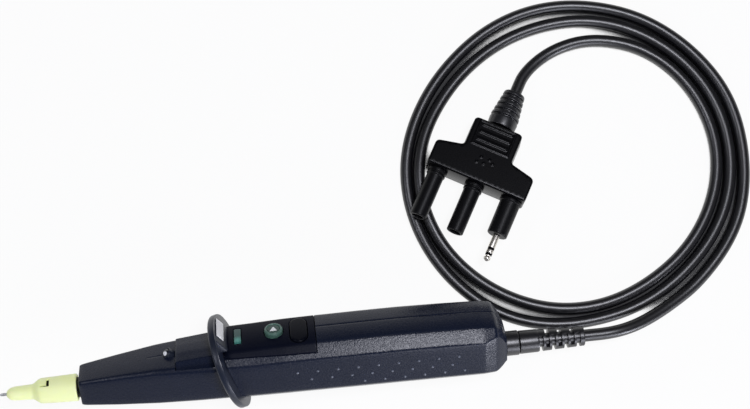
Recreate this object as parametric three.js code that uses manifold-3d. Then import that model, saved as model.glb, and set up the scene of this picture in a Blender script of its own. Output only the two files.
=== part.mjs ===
// Switched test probe: a tapered octagonal handle with a hand guard, a start button and a lamp key,
// a shielded needle at the front and a lead that ends in a three-pole plug.
//
// Millimetres, +Z up. The probe lies on a flat surface, rolled onto its guard and its rear far edge.
// Handle coordinates: +X from the needle point to the lead, +Z out of the keypad, -Y the near side.
// Plug coordinates: +X along the prongs, +Z out of the upper face, origin at the middle prong's root.
import * as THREE from 'three';
import { mergeVertices } from 'three/addons/utils/BufferGeometryUtils.js';
import Module from 'manifold-3d';

const wasm = await Module();
wasm.setup();

// ---- driving dimensions -------------------------------------------------------------------------

const GAP = 0.3; // clearance between neighbouring pieces
const WALL = 2.0; // wall of the handle shells and of the keypad

// How the probe lies.
const ROLL = 45; // degrees that the keypad leans away
const NOSE_UP = 2.15; // degrees

// Needle and tip cap.
const NEEDLE_R = 0.8;
const SHANK_R = 1.5;
const NECK_R = 4.8;
const CAP_MOUTH = 5.0; // how much of the needle stands out of the cap
const CAP_END = 38.1;
const CAP_BORE = 5.2;

// Handle sections: station, half width, top, bottom, top chamfer, bottom chamfer, crown of the top.
const HANDLE = [
  [39.7, 6.6, 7.8, 5.5, 0.9, 0.9, 0.1],
  [40.3, 7.2, 8.4, 6.1, 0.9, 1.0, 0.1],
  [57, 8.9, 10.9, 6.9, 1.1, 1.4, 0.3],
  [76, 10.9, 13.4, 7.3, 1.4, 2.0, 0.4],
  [95, 12.8, 14.7, 7.4, 1.8, 3.0, 0.5],
  [105, 13.8, 15.4, 7.7, 2.4, 4.0, 0.5],
  [111, 14.9, 20.0, 8.0, 5.2, 5.0, 0.9],
  [122, 15.3, 20.4, 8.2, 5.6, 5.5, 1.0],
  [137, 15.6, 21.0, 8.3, 5.7, 5.7, 1.1],
  [152, 15.7, 21.3, 8.4, 5.8, 5.8, 1.1],
  [172, 15.8, 21.4, 8.5, 5.8, 5.8, 1.1],
  [191, 15.8, 21.4, 8.6, 5.8, 5.8, 1.1],
  [212, 15.7, 20.8, 8.7, 5.6, 5.6, 1.3],
  [230, 15.5, 19.9, 8.8, 5.4, 5.4, 1.5],
  [236.2, 13.0, 19.0, 8.4, 3.1, 3.2, 1.4],
  [239, 10.8, 15.4, 7.2, 3.0, 3.0, 0.8],
  [241.4, 8.6, 9.2, 5.2, 2.5, 2.5, 0.1],
];
const CORNER = 0.5; // flat on every long edge

// Keypad: a raised platform ahead of the guard and a saddle behind it, one piece through the guard.
const PLATFORM = [
  [86.0, 9.9, 16.3, 8.0, 2.0, 2.0, 0.3],
  [86.8, 10.2, 16.6, 8.0, 2.0, 2.0, 0.3],
  [103, 10.6, 18.3, 8.0, 1.9, 2.0, 0.5],
  [112, 10.8, 19.3, 8.0, 1.9, 2.0, 0.6],
];
const SADDLE_FROM = 104;
const SADDLE_END = 151.8;
const SADDLE_EDGE = 17.9; // height of the saddle's lower edge on the chamfers

// Hand guard: a raked disc with a wedge behind its top that carries the rating label.
const GUARD_AT = [110.3, 0, 6.7];
const GUARD_R = 22.9;
const GUARD_T = 3.4;
const GUARD_RAKE = 17.3; // degrees, top towards the needle
const GROOVE = 1.0; // how deep the disc sits in the handle
const WEDGE_FOOT = 110.6; // where the wedge meets the keypad
const WEDGE_TOP_Z = 27.0;
const WEDGE_LEAN = 36; // degrees from upright
const WEDGE_W = 17;
const LABEL = [12.4, 4.8, 0.3]; // across, up, thick
const LABEL_Y = 1.5;

// Controls and lamps on the keypad.
const BUTTON_X = 132.5;
const BUTTON_R = 4.35;
const BUTTON_PROUD = 1.9;
const BUTTON_TRAVEL = 0.8;
const KEY_X = 144.1;
const KEY_Y = -0.6;
const KEY_W = 8.0; // along the handle
const KEY_L = 16.8; // across the handle
const KEY_TRAVEL = 0.6;
const WINDOW = [115.5, 0.4, 3.3, 10.5]; // station, y, width, length
const TORCH_X = 82.2;
const TORCH_R = 2.45;
const TORCH_TILT = 42; // degrees above straight ahead

// Inside the handle.
const BOARD_TOP = 12.6;
const BOARD_T = 1.6;
const BOARD_W = 17;
const SCREWS = [64, 124, 166, 206]; // stations of the screws
const SCREW_Z = [1.5, -0.5, -0.5, -0.5];

// Grip nubs: rows of height, first station and count, all at one pitch.
const NUB_R = 0.55;
const NUB_PITCH = 9.45;
const NUB_ROWS = [
  [8.5, 141.9, 9],
  [4.0, 148.2, 8],
  [-0.2, 172.9, 6],
];

// Lead outlet.
const COLLAR = [241.7, 248.2, 5.95];
const BOOT = [248.5, 280, 5.6, 4.7];
const SLOT_FROM = 257.9;
const SLOT_W = 1.9;
const SLOT_PITCH = 3.0;
const SLOTS = 7;

// Lead: 5.9 mm jacket, lying in a coil of two and a half turns.
const LEAD_R = 2.95;
const LEAD_SIDES = 8;
const LEAD_STEP = 12;

// Plug: where it lies, and its parts.
const PLUG_AT = [96.2, 73.8];
const PLUG_TURN = -119.2; // degrees, direction of the prongs
const PLUG_TIP_UP = 6; // degrees
const PRONG_PITCH = 19.4;
const PLUG_H = 15;
const SHEATH_R = 4.25;
const SHEATH_L = 25.8;
const PIN_R = 2.0;
const JACK_SHEATH_R = 5.1;
const JACK_SHEATH_L = 19.1;
const JACK_R = 1.75;
const JACK_L = 13.6;
const PLUG_BACK = -31.8;
const PLUG_BOOT_L = 19.9;
const PLUG_BOOT_Y = 0.7; // how far the lead enters off the middle

// ---- helpers ------------------------------------------------------------------------------------

const rad = THREE.MathUtils.degToRad;

// A closed solid from a triangle geometry, faces pointing out.
function solid(geometry) {
  const bare = geometry.clone();
  bare.deleteAttribute('normal');
  bare.deleteAttribute('uv');
  const merged = mergeVertices(bare, 1e-4);
  const p = merged.attributes.position.array;
  const index = merged.index.array;
  const tris = [];
  let volume = 0;
  for (let i = 0; i < index.length; i += 3) {
    const [a, b, c] = [index[i], index[i + 1], index[i + 2]];
    if (a === b || b === c || c === a) continue;
    tris.push(a, b, c);
    const [u, v, w] = [a, b, c].map((k) => new THREE.Vector3(p[3 * k], p[3 * k + 1], p[3 * k + 2]));
    volume += u.dot(v.cross(w));
  }
  if (volume < 0) tris.reverse();
  return new wasm.Manifold(
    new wasm.Mesh({
      numProp: 3,
      vertProperties: new Float32Array(p),
      triVerts: new Uint32Array(tris),
    }),
  );
}

// The triangle geometry of a closed solid.
function surface(body) {
  const mesh = body.getMesh();
  const geometry = new THREE.BufferGeometry();
  geometry.setAttribute('position', new THREE.BufferAttribute(mesh.vertProperties, 3));
  geometry.setIndex(new THREE.BufferAttribute(mesh.triVerts, 1));
  return geometry;
}

// A geometry moved to a place, after turning about X, Y and Z in degrees.
function placed(geometry, at, turn = [0, 0, 0]) {
  const rotation = new THREE.Euler(rad(turn[0]), rad(turn[1]), rad(turn[2]), 'ZYX');
  const matrix = new THREE.Matrix4().makeRotationFromEuler(rotation);
  matrix.setPosition(...at);
  return geometry.clone().applyMatrix4(matrix);
}

// A box from its low corner to its high corner.
function block(low, high) {
  const size = high.map((h, i) => h - low[i]);
  const box = new THREE.BoxGeometry(...size);
  return solid(box.translate(...low.map((l, i) => l + size[i] / 2)));
}

// A body of revolution about X from [station, radius] pairs that start and end on the axis.
function turned(profile, sides = 32) {
  const points = profile.map(([x, r]) => new THREE.Vector2(r, x));
  if (THREE.ShapeUtils.area(points) < 0) points.reverse();
  return new THREE.LatheGeometry(points, sides).rotateZ(-Math.PI / 2);
}

// A ring or tube about X from a closed loop of [station, radius] pairs.
function ring(profile, sides = 32) {
  return turned([...profile, profile[0]], sides);
}

// A cylinder along an axis ('x', 'y' or 'z') between two stations, centred at the other two values.
function rod(axis, from, to, radius, a = 0, b = 0, sides = 24) {
  const cylinder = new THREE.CylinderGeometry(radius, radius, to - from, sides);
  const mid = (from + to) / 2;
  if (axis === 'x') return solid(cylinder.rotateZ(-Math.PI / 2).translate(mid, a, b));
  if (axis === 'y') return solid(cylinder.translate(a, mid, b));
  return solid(cylinder.rotateX(Math.PI / 2).translate(a, b, mid));
}

// An octagonal section with flattened corners and a crowned top, grown by `grow` all round.
function section([x, half, top, bottom, topCut, lowCut, crown], grow) {
  const a = half + grow;
  const t = top + grow;
  const b = -bottom - grow;
  const k = Math.max(topCut + 0.586 * grow, 0.3);
  const l = Math.max(lowCut + 0.586 * grow, 0.3);
  const corners = [
    [a, b + l],
    [a, t - k],
    [a - k, t],
    [-a + k, t],
    [-a, t - k],
    [-a, b + l],
    [-a + l, b],
    [a - l, b],
  ];
  const points = [];
  corners.forEach((corner, i) => {
    const last = corners[(i + 7) % 8];
    const next = corners[(i + 1) % 8];
    for (const other of [last, next]) {
      const length = Math.hypot(other[0] - corner[0], other[1] - corner[1]);
      const share = Math.min(CORNER / length, 0.45);
      points.push([
        corner[0] + (other[0] - corner[0]) * share,
        corner[1] + (other[1] - corner[1]) * share,
      ]);
    }
    if (i === 2) {
      for (const u of [0.5, 0, -0.5]) points.push([(a - k) * u, t + crown * (1 - u * u)]);
    }
  });
  return points.map(([y, z]) => [x, y, z]);
}

// A solid through a list of stations, each an octagonal section.
function loft(stations, grow = 0) {
  const sections = stations.map((station) => section(station, grow));
  const outline = sections[0].map(([, y, z]) => new THREE.Vector2(y, z));
  const count = sections.length - 1;
  const geometry = new THREE.ExtrudeGeometry(new THREE.Shape(outline), {
    depth: count,
    steps: count,
    bevelEnabled: false,
  });
  const position = geometry.attributes.position;
  for (let i = 0; i < position.count; i++) {
    const y = position.getX(i);
    const z = position.getY(i);
    let nearest = 0;
    outline.forEach((point, j) => {
      const best = outline[nearest];
      if (Math.hypot(point.x - y, point.y - z) < Math.hypot(best.x - y, best.y - z)) nearest = j;
    });
    position.setXYZ(i, ...sections[Math.round(position.getZ(i))][nearest]);
  }
  return solid(geometry);
}

// The value in column `column` of the handle sections at a station.
function handleAt(x, column) {
  const i = HANDLE.findIndex((station) => station[0] > x);
  const [low, high] = [HANDLE[i - 1], HANDLE[i]];
  return THREE.MathUtils.mapLinear(x, low[0], high[0], low[column], high[column]);
}

// A flat outline with rounded corners, raised along Z from `low` to `high`.
function pill(x, y, width, length, radius, low, high) {
  const shape = new THREE.Shape();
  const [w, l] = [width / 2, length / 2];
  shape.moveTo(-w + radius, -l);
  shape.lineTo(w - radius, -l);
  shape.absarc(w - radius, -l + radius, radius, -Math.PI / 2, 0);
  shape.absarc(w - radius, l - radius, radius, 0, Math.PI / 2);
  shape.absarc(-w + radius, l - radius, radius, Math.PI / 2, Math.PI);
  shape.absarc(-w + radius, -l + radius, radius, Math.PI, Math.PI * 1.5);
  const geometry = new THREE.ExtrudeGeometry(shape, {
    depth: high - low,
    bevelEnabled: false,
    curveSegments: 8,
  });
  return solid(geometry.translate(x, y, low));
}

const union = (list) => list.reduce((whole, piece) => whole.add(piece));
const cut = (body, list) => list.reduce((rest, piece) => rest.subtract(piece), body);

const probe = new THREE.Group();
const plug = new THREE.Group();
const part = new THREE.Group();

// Adds a mesh with its own material to a group.
function add(group, name, geometry, colour, roughness, metalness = 0) {
  const material = new THREE.MeshStandardMaterial({ color: colour, roughness, metalness });
  const mesh = new THREE.Mesh(geometry, material);
  mesh.name = name;
  group.add(mesh);
  return mesh;
}

const SOFT_BLACK = 0x23232b;
const PVC_BLACK = 0x1b1b1f;
const NICKEL = 0xb9b4a6;
const BRASS = 0xb0955a;

// ---- needle, tip cap and neck -------------------------------------------------------------------

// One contact rod: a ground point, the thin needle and a thicker shank held in the neck.
add(
  probe,
  'contact_needle',
  turned([[0, 0], [0.2, 0.12], [2.4, NEEDLE_R], [20.4, NEEDLE_R], [21.2, SHANK_R], [56, SHANK_R], [56, 0]], 20),
  NICKEL,
  0.3,
  1,
);

// Cap: an ogive cone on a wide collar, with the needle running through its bore. An L-shaped slit
// in the collar frees a latch; it shows the dark neck below.
const capShape = solid(
  ring(
    [
      [CAP_MOUTH, 1.15],
      [CAP_MOUTH, 1.4],
      [5.4, 1.95],
      [6.1, 2.5],
      [7.0, 2.95],
      [8.3, 3.25],
      [17.0, 3.6],
      [17.9, 3.95],
      [19.1, 4.9],
      [20.1, 5.6],
      [21.1, 5.95],
      [22.6, 6.05],
      [CAP_END - 0.5, 6.5],
      [CAP_END, 6.2],
      [CAP_END, CAP_BORE],
      [22.2, CAP_BORE],
      [19.2, 2.6],
      [17.4, 1.15],
    ],
    32,
  ),
);
add(
  probe,
  'tip_cap',
  surface(cut(capShape, [block([23.2, -3.7, 3.2], [24.1, 0.6, 8]), block([20, -3.7, 3.2], [23.4, -3.35, 8])])),
  0xe6efab,
  0.45,
);

// Neck: an insulating sleeve round the shank, clamped in the nose of the handle, with a seal groove.
add(
  probe,
  'tip_neck',
  ring([
    [22.6, SHANK_R + GAP],
    [22.6, 4.3],
    [23.1, NECK_R],
    [29, NECK_R],
    [29, 3.9],
    [30.4, 3.9],
    [30.4, NECK_R],
    [53, NECK_R],
    [53, SHANK_R + GAP],
  ], 32),
  0x17171b,
  0.5,
);
add(
  probe,
  'neck_seal',
  new THREE.TorusGeometry(NECK_R - 0.17, 0.38, 6, 20).rotateY(Math.PI / 2).translate(29.7, 0, 0),
  0x101012,
  0.7,
);

// ---- handle shells and keypad -------------------------------------------------------------------

const raked = (from, to, radius) =>
  solid(placed(new THREE.CylinderGeometry(radius, radius, to - from, 64).rotateZ(-Math.PI / 2)
    .translate((from + to) / 2, 0, 0), GUARD_AT, [0, -GUARD_RAKE, 0]));

const inner = HANDLE.map((station, i) => {
  const cavity = [...station];
  if (i === 0) cavity[0] += WALL + 0.4;
  if (i === 1) cavity[0] = HANDLE[0][0] + WALL + 1.4;
  if (i === HANDLE.length - 1) cavity[0] -= WALL;
  if (i === HANDLE.length - 2) cavity[0] -= 0.8;
  cavity[6] = 0;
  return cavity;
});
const cavity = loft(inner, -WALL);

const saddleBox = block([SADDLE_FROM, -30, SADDLE_EDGE], [SADDLE_END, 30, 40]);
const deckOuter = loft(HANDLE).intersect(saddleBox).add(
  loft(PLATFORM).intersect(block([80, -30, 12.6], [112, 30, 40])),
);
const deckRoom = loft(HANDLE, GAP)
  .intersect(block([SADDLE_FROM, -30, SADDLE_EDGE - GAP], [SADDLE_END + GAP, 30, 40]))
  .add(loft(PLATFORM.map((s, i) => [i === 0 ? s[0] - GAP : s[0], ...s.slice(1)]), GAP)
    .intersect(block([80, -30, 12.6 - GAP], [112, 30, 40])));

// Pocket and seat of the torch in the step at the front of the keypad.
const torchTurn = [0, TORCH_TILT, 0];
const torchAt = [TORCH_X, 0, 14.6];
const alongTorch = (from, to, radius, sides = 28) =>
  solid(placed(new THREE.CylinderGeometry(radius, radius, to - from, sides).rotateZ(-Math.PI / 2)
    .translate((from + to) / 2, 0, 0), torchAt, torchTurn));
const torchPocket = alongTorch(-6, 7.2, TORCH_R + GAP);

const topAt = (x) => handleAt(x, 2) + handleAt(x, 6);
const buttonTop = topAt(BUTTON_X) + BUTTON_PROUD;
const under = 18.4; // underside of the keypad over the board

// Keypad with openings for the window, the button and the key.
const deckCavity = loft(PLATFORM.map((s, i) => [i === 0 ? s[0] + WALL : s[0], s[1] - WALL, s[2] - WALL, ...s.slice(3)]))
  .intersect(block([80, -30, 5], [112, 30, 40]))
  .add(block([108, -11, 5], [SADDLE_END - WALL, 11, under]));
add(
  probe,
  'keypad_deck',
  surface(
    cut(deckOuter, [
      deckCavity,
      torchPocket,
      rod('z', 10, 30, BUTTON_R + GAP, BUTTON_X, 0, 40),
      pill(KEY_X, KEY_Y, KEY_W + 2 * GAP, KEY_L + 2 * GAP, KEY_W / 2 + GAP - 0.01, 10, 30),
      pill(WINDOW[0], WINDOW[1], WINDOW[2] + 2 * GAP, WINDOW[3] + 2 * GAP, 0.6 + GAP, 10, 30),
    ]),
  ),
  SOFT_BLACK,
  0.55,
);

// Two half shells that meet on the middle plane. Screws pass through bosses in the far half into
// the near half, and ledges carry the circuit board.
const nubs = [];
for (const side of [-1, 1]) {
  for (const [z, first, count] of NUB_ROWS) {
    for (let i = 0; i < count; i++) {
      const x = first + i * NUB_PITCH;
      const y = side * (handleAt(x, 1) - 0.15);
      const nub = new THREE.SphereGeometry(NUB_R, 6, 4).scale(1, 0.8, 1);
      nubs.push(solid(nub.translate(x, y, z)));
    }
  }
}
const bosses = SCREWS.map((x, i) => rod('y', -handleAt(x, 1) + 0.8, handleAt(x, 1) - 0.8, 3.6, x, SCREW_Z[i]));
const ledges = [-1, 1].flatMap((side) =>
  [100, 148].map((x) => {
    const [low, high] = [8.2 * side, (handleAt(x, 1) - 1) * side].sort((p, q) => p - q);
    return block([x, low, BOARD_TOP - BOARD_T - 2.2], [x + 3, high, BOARD_TOP - BOARD_T - GAP]);
  }),
);
const hollow = loft(HANDLE).subtract(cavity);
const inside = union([...bosses, ...ledges]).intersect(loft(HANDLE, -0.6));
const whole = cut(hollow.add(inside).add(union(nubs)), [
  deckRoom,
  torchPocket,
  raked(-GUARD_T / 2 - GAP, GUARD_T / 2 + GAP, 30).subtract(loft(HANDLE, -GROOVE - GAP)),
  rod('x', 30, 55, NECK_R + GAP, 0, 0, 32),
  rod('x', 234, 250, 4.7 + GAP, 0, 0, 32),
]);
const near = whole.intersect(block([0, -40, -40], [300, -GAP / 2, 60]));
const far = whole.intersect(block([0, GAP / 2, -40], [300, 40, 60]));
const headSeat = SCREWS.map((x) => handleAt(x, 1) - 3.4);
const nearHoles = SCREWS.map((x, i) => rod('y', -handleAt(x, 1) + 3.2, 1, 1.5, x, SCREW_Z[i], 16));
const farHoles = SCREWS.flatMap((x, i) => [
  rod('y', -1, 30, 1.7, x, SCREW_Z[i], 16),
  rod('y', headSeat[i], 30, 2.9, x, SCREW_Z[i], 20),
]);
add(probe, 'shell_near', surface(cut(near, nearHoles)), SOFT_BLACK, 0.55);
add(probe, 'shell_far', surface(cut(far, farHoles)), SOFT_BLACK, 0.55);

// Screws: pan heads in the far shell's counterbores.
SCREWS.forEach((x, i) => {
  const tip = -handleAt(x, 1) + 3.2 + GAP;
  const head = headSeat[i] + GAP;
  const shape = union([
    rod('y', tip, head + 0.2, 1.2, x, SCREW_Z[i], 12),
    rod('y', head, head + 1.7, 2.5, x, SCREW_Z[i], 18),
  ]);
  const slot = block([x - 1.5, head + 0.9, SCREW_Z[i] - 0.3], [x + 1.5, head + 3, SCREW_Z[i] + 0.3]);
  const cross = block([x - 0.3, head + 0.9, SCREW_Z[i] - 1.5], [x + 0.3, head + 3, SCREW_Z[i] + 1.5]);
  add(probe, `shell_screw_${i + 1}`, surface(cut(shape, [slot, cross])), 0x8d8d90, 0.35, 1);
});

// ---- hand guard ---------------------------------------------------------------------------------

// The disc sits in a groove round the shells. Its wedge leans over the keypad.
const disc = solid(placed(
  turned([
    [-GUARD_T / 2, 0],
    [-GUARD_T / 2, GUARD_R - 1.3],
    [-GUARD_T / 2 + 0.4, GUARD_R - 0.4],
    [-GUARD_T / 2 + 1.2, GUARD_R],
    [GUARD_T / 2 - 0.3, GUARD_R],
    [GUARD_T / 2, GUARD_R - 0.3],
    [GUARD_T / 2, 0],
  ], 60),
  GUARD_AT,
  [0, -GUARD_RAKE, 0],
));
const wedgeRise = WEDGE_TOP_Z - 19;
const wedgeFoot = WEDGE_FOOT + 1.3 * Math.tan(rad(WEDGE_LEAN));
const wedgeShape = new THREE.Shape([
  new THREE.Vector2(wedgeFoot, 19),
  new THREE.Vector2(wedgeFoot - wedgeRise * Math.tan(rad(WEDGE_LEAN)), WEDGE_TOP_Z),
  new THREE.Vector2(103.2, WEDGE_TOP_Z),
  new THREE.Vector2(105.2, 19),
]);
const wedge = solid(
  new THREE.ExtrudeGeometry(wedgeShape, { depth: WEDGE_W, bevelEnabled: false })
    .rotateX(Math.PI / 2)
    .translate(0, WEDGE_W / 2, 0),
);
const guardHole = [loft(HANDLE, -GROOVE), deckRoom, loft(HANDLE, GAP).intersect(block([111, -30, -30], [150, 30, 40]))];
add(probe, 'hand_guard', surface(cut(disc.add(wedge), guardHole)), SOFT_BLACK, 0.5);

// Blank rating plate on the wedge.
const lean = rad(WEDGE_LEAN);
const labelUp = 4.4 / Math.cos(lean);
add(
  probe,
  'rating_label',
  placed(
    new THREE.BoxGeometry(LABEL[2], LABEL[0], LABEL[1]).translate(LABEL[2] / 2 + GAP, 0, labelUp),
    [WEDGE_FOOT, LABEL_Y, 20.3],
    [0, -WEDGE_LEAN, 0],
  ),
  0xf4f4f2,
  0.4,
);

// ---- controls and lamps -------------------------------------------------------------------------

// Start button: a domed disc with a flange that keeps it under the keypad, and an inlaid arrow.
const buttonShape = solid(
  turned([
    [under - GAP - 1, 0],
    [under - GAP - 1, BUTTON_R + 0.8],
    [under - GAP, BUTTON_R + 0.8],
    [under - GAP, BUTTON_R],
    [buttonTop - 0.9, BUTTON_R],
    [buttonTop - 0.35, BUTTON_R - 0.35],
    [buttonTop, BUTTON_R - 1],
    [buttonTop, BUTTON_R - 1.5],
    [buttonTop - 0.25, BUTTON_R - 1.7],
    [buttonTop - 0.25, 0],
  ], 40).rotateY(-Math.PI / 2).translate(BUTTON_X, 0, 0),
);
const arrow = (grow, low, high) => {
  const [w, l] = [1.7 + grow * 1.7, 1.45 + grow];
  const shape = new THREE.Shape([
    new THREE.Vector2(-w, -l),
    new THREE.Vector2(w, -l),
    new THREE.Vector2(0, l + grow * 0.8),
  ]);
  return new THREE.ExtrudeGeometry(shape, { depth: high - low, bevelEnabled: false })
    .translate(BUTTON_X, -0.25, low);
};
add(
  probe,
  'start_button',
  surface(buttonShape.subtract(solid(arrow(0.2, buttonTop - 1, buttonTop + 1)))),
  0x2f5a50,
  0.4,
);
add(probe, 'button_arrow', arrow(0, buttonTop - 0.8, buttonTop - 0.1), 0xf2f5f2, 0.45);

// Lamp key: a pill across the keypad that follows its crown.
const keyTop = loft(HANDLE, 0.35);
const keyShape = pill(KEY_X, KEY_Y, KEY_W, KEY_L, KEY_W / 2 - 0.01, under - GAP - 0.5, 30)
  .intersect(keyTop)
  .add(pill(KEY_X, KEY_Y, KEY_W + 1.4, KEY_L + 1.2, 3, under - GAP - 1, under - GAP));
add(probe, 'lamp_key', surface(keyShape), 0x1f1f26, 0.5);

// Indicator window, flush in the keypad.
const windowShape = pill(WINDOW[0], WINDOW[1], WINDOW[2], WINDOW[3], 0.6, 17.6, 30).intersect(loft(HANDLE, 0.1));
add(probe, 'indicator_window', surface(windowShape), 0x3f8f86, 0.2);

// Torch: a clear domed lens in the step, with its diode behind it.
add(
  probe,
  'torch_lens',
  placed(turned([[-2.3, 0], [-2.2, 0.8], [-1.6, 1.7], [-0.6, 2.3], [0.2, TORCH_R], [3, TORCH_R], [3, 0]], 28),
    torchAt, torchTurn),
  0xdfe8ea,
  0.08,
);
add(
  probe,
  'torch_diode',
  placed(turned([[3.3, 0], [3.3, 1.9], [6.2, 1.9], [6.2, 0]], 20), torchAt, torchTurn),
  0xe9e4c8,
  0.3,
);

// ---- inside -------------------------------------------------------------------------------------

// Circuit board on the shells' ledges, two tactile switches and a lamp under the window.
add(
  probe,
  'circuit_board',
  surface(block([96, -BOARD_W / 2, BOARD_TOP - BOARD_T], [152.5, BOARD_W / 2, BOARD_TOP])),
  0x1f5a35,
  0.5,
);
const switchTop = { start_switch: [BUTTON_X, BUTTON_TRAVEL], lamp_switch: [KEY_X, KEY_TRAVEL] };
for (const [name, [x, travel]] of Object.entries(switchTop)) {
  const top = under - GAP - 1 - travel - GAP;
  const body = block([x - 2.9, -2.9, BOARD_TOP + GAP], [x + 2.9, 2.9, top - 0.8]);
  add(probe, name, surface(body.add(rod('z', top - 1, top, 1.7, x, 0, 20))), 0x3a3a40, 0.4);
}
add(
  probe,
  'window_diode',
  surface(block([WINDOW[0] - 1.2, -1.6, BOARD_TOP + GAP], [WINDOW[0] + 1.2, 1.6, 15.2])),
  0xe9e4c8,
  0.3,
);

// Clamp bar across the handle that takes the pull of the lead.
const clampShape = cut(block([223, -13, 0.4], [229, 13, 5.4]), [rod('x', 220, 240, 3.4, 0, 0, 24)]);
add(probe, 'lead_clamp', surface(clampShape), 0x2a2a2e, 0.6);

// Two cores from the lead to the board.
const core = (y) => {
  const path = new THREE.CatmullRomCurve3([
    new THREE.Vector3(234, y, 0),
    new THREE.Vector3(221, y, 0.8),
    new THREE.Vector3(211, y * 1.5, 5.5),
    new THREE.Vector3(200, y * 2, 7),
    new THREE.Vector3(180, y * 3, 9),
    new THREE.Vector3(162, y * 3, 11.5),
    new THREE.Vector3(153.4, y * 3, BOARD_TOP - BOARD_T / 2),
  ]);
  const circle = new THREE.Shape().absarc(0, 0, 0.75, 0, Math.PI * 2);
  return new THREE.ExtrudeGeometry(circle, { steps: 16, extrudePath: path, curveSegments: 3 });
};
add(probe, 'core_near', core(-1.3), 0x9a2a24, 0.5);
add(probe, 'core_far', core(1.3), 0x23232b, 0.5);

// ---- lead outlet --------------------------------------------------------------------------------

// Collar: a ring outside the shells with a sleeve that fills their rear bore.
add(
  probe,
  'rear_collar',
  ring([
    [236.5, 3.3],
    [236.5, 4.7],
    [COLLAR[0] - 0.01, 4.7],
    [COLLAR[0], COLLAR[2] - 0.3],
    [COLLAR[0] + 0.3, COLLAR[2]],
    [COLLAR[1] - 0.3, COLLAR[2]],
    [COLLAR[1], COLLAR[2] - 0.3],
    [COLLAR[1], 3.3],
  ], 40),
  PVC_BLACK,
  0.5,
);

// Strain relief: a smooth root and seven slots that open on alternate sides.
const bootAt = (x) => THREE.MathUtils.mapLinear(x, BOOT[0], BOOT[1], BOOT[2], BOOT[3]);
const slots = [];
for (let i = 0; i < SLOTS; i++) {
  const x = SLOT_FROM + i * SLOT_PITCH;
  const slab = new THREE.BoxGeometry(SLOT_W, 20, 14).translate(x + SLOT_W / 2, 0, -7 + 2.9);
  slots.push(solid(slab.rotateX(rad(i % 2 ? 150 : -30))).subtract(rod('x', x - 1, x + SLOT_W + 1, 3.2, 0, 0, 16)));
}
add(
  probe,
  'rear_boot',
  surface(
    cut(
      solid(turned([
        [BOOT[0], 0],
        [BOOT[0], BOOT[2] - 0.2],
        [BOOT[0] + 0.2, BOOT[2]],
        [257.4, bootAt(257.4) + 0.15],
        [258, bootAt(258)],
        [BOOT[1] - 0.8, bootAt(BOOT[1])],
        [BOOT[1], bootAt(BOOT[1]) - 0.6],
        [BOOT[1], 0],
      ], 32)),
      slots,
    ),
  ),
  PVC_BLACK,
  0.5,
);

// ---- plug ---------------------------------------------------------------------------------------

// Moulded T: a cross bar that carries the prongs, narrower towards its ends, and a block behind it
// with a framed finger grip of three ribs.
const drafted = (x0, x1, half, halfTop, { back = 0, taper = 0, mid = 6 } = {}) => {
  const low = -PLUG_H / 2;
  const high = PLUG_H / 2;
  const e = 0.9;
  const box = new THREE.BoxGeometry(1, 1, 1, 1, 5, 3);
  const position = box.attributes.position;
  for (let i = 0; i < position.count; i++) {
    const v = Math.round((position.getY(i) + 0.5) * 5);
    const w = Math.round((position.getZ(i) + 0.5) * 3);
    const z = [low, low + e, high - e, high][w];
    const share = (z - low) / PLUG_H;
    const side = THREE.MathUtils.lerp(half, halfTop, share);
    const inset = (w === 0 || w === 3) && (v === 0 || v === 5) ? e : 0;
    const y = [-side + inset, -side + e * 1.4, -mid, mid, side - e * 1.4, side - inset][v];
    const rear = x0 + back * share + (v === 2 || v === 3 ? 0 : taper);
    position.setXYZ(i, position.getX(i) < 0 ? rear : x1, y, z);
  }
  return solid(box);
};
const grip = [-29.2, -25.3, -21.4].map((x) => block([x, -8.6, PLUG_H / 2 - 1], [x + 1.3, 8.6, PLUG_H / 2 + 0.35]));
const frame = block([-30.7, -10.3, PLUG_H / 2 - 1], [-17.4, 10.3, PLUG_H / 2 + 0.35])
  .subtract(block([-29.9, -9.5, 0], [-18.2, 9.5, 20]));
const pips = [[-12.4, -2.2], [-12.4, 2.2], [-9.6, 0], [-9.6, 4.2]].map(([x, y]) =>
  rod('z', PLUG_H / 2 - 1, PLUG_H / 2 + 0.3, 0.55, x, y, 10));
const plugBody = union([
  drafted(-15.2, 0, 25.7, 25.7, { taper: 2.8, mid: 12.6 }),
  drafted(PLUG_BACK, -14.6, 13.2, 12.4, { back: 0.8 }),
  ...grip,
  frame,
  ...pips,
]);
const sockets = [-PRONG_PITCH, 0].map((y) => rod('x', -3, 1, 2.4, y, 0, 20));
add(plug, 'plug_body', surface(cut(plugBody, sockets)), PVC_BLACK, 0.5);

// Ribbed boot where the lead enters the plug.
const plugBootProfile = [[PLUG_BACK - GAP, 0], [PLUG_BACK - GAP, 7.0], [PLUG_BACK - 4.9, 7.3]];
for (let i = 0; i < 5; i++) {
  const x = PLUG_BACK - 5.2 - i * 2.9;
  const r = 7.3 - i * 0.42;
  plugBootProfile.push([x, r - 1], [x - 0.9, r - 1.1], [x - 1.1, r], [x - 2.6, r - 0.2]);
}
plugBootProfile.push([PLUG_BACK - PLUG_BOOT_L, 5.2], [PLUG_BACK - PLUG_BOOT_L, 0]);
add(plug, 'plug_boot', turned(plugBootProfile, 24).translate(0, PLUG_BOOT_Y, 0), PVC_BLACK, 0.5);

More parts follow.
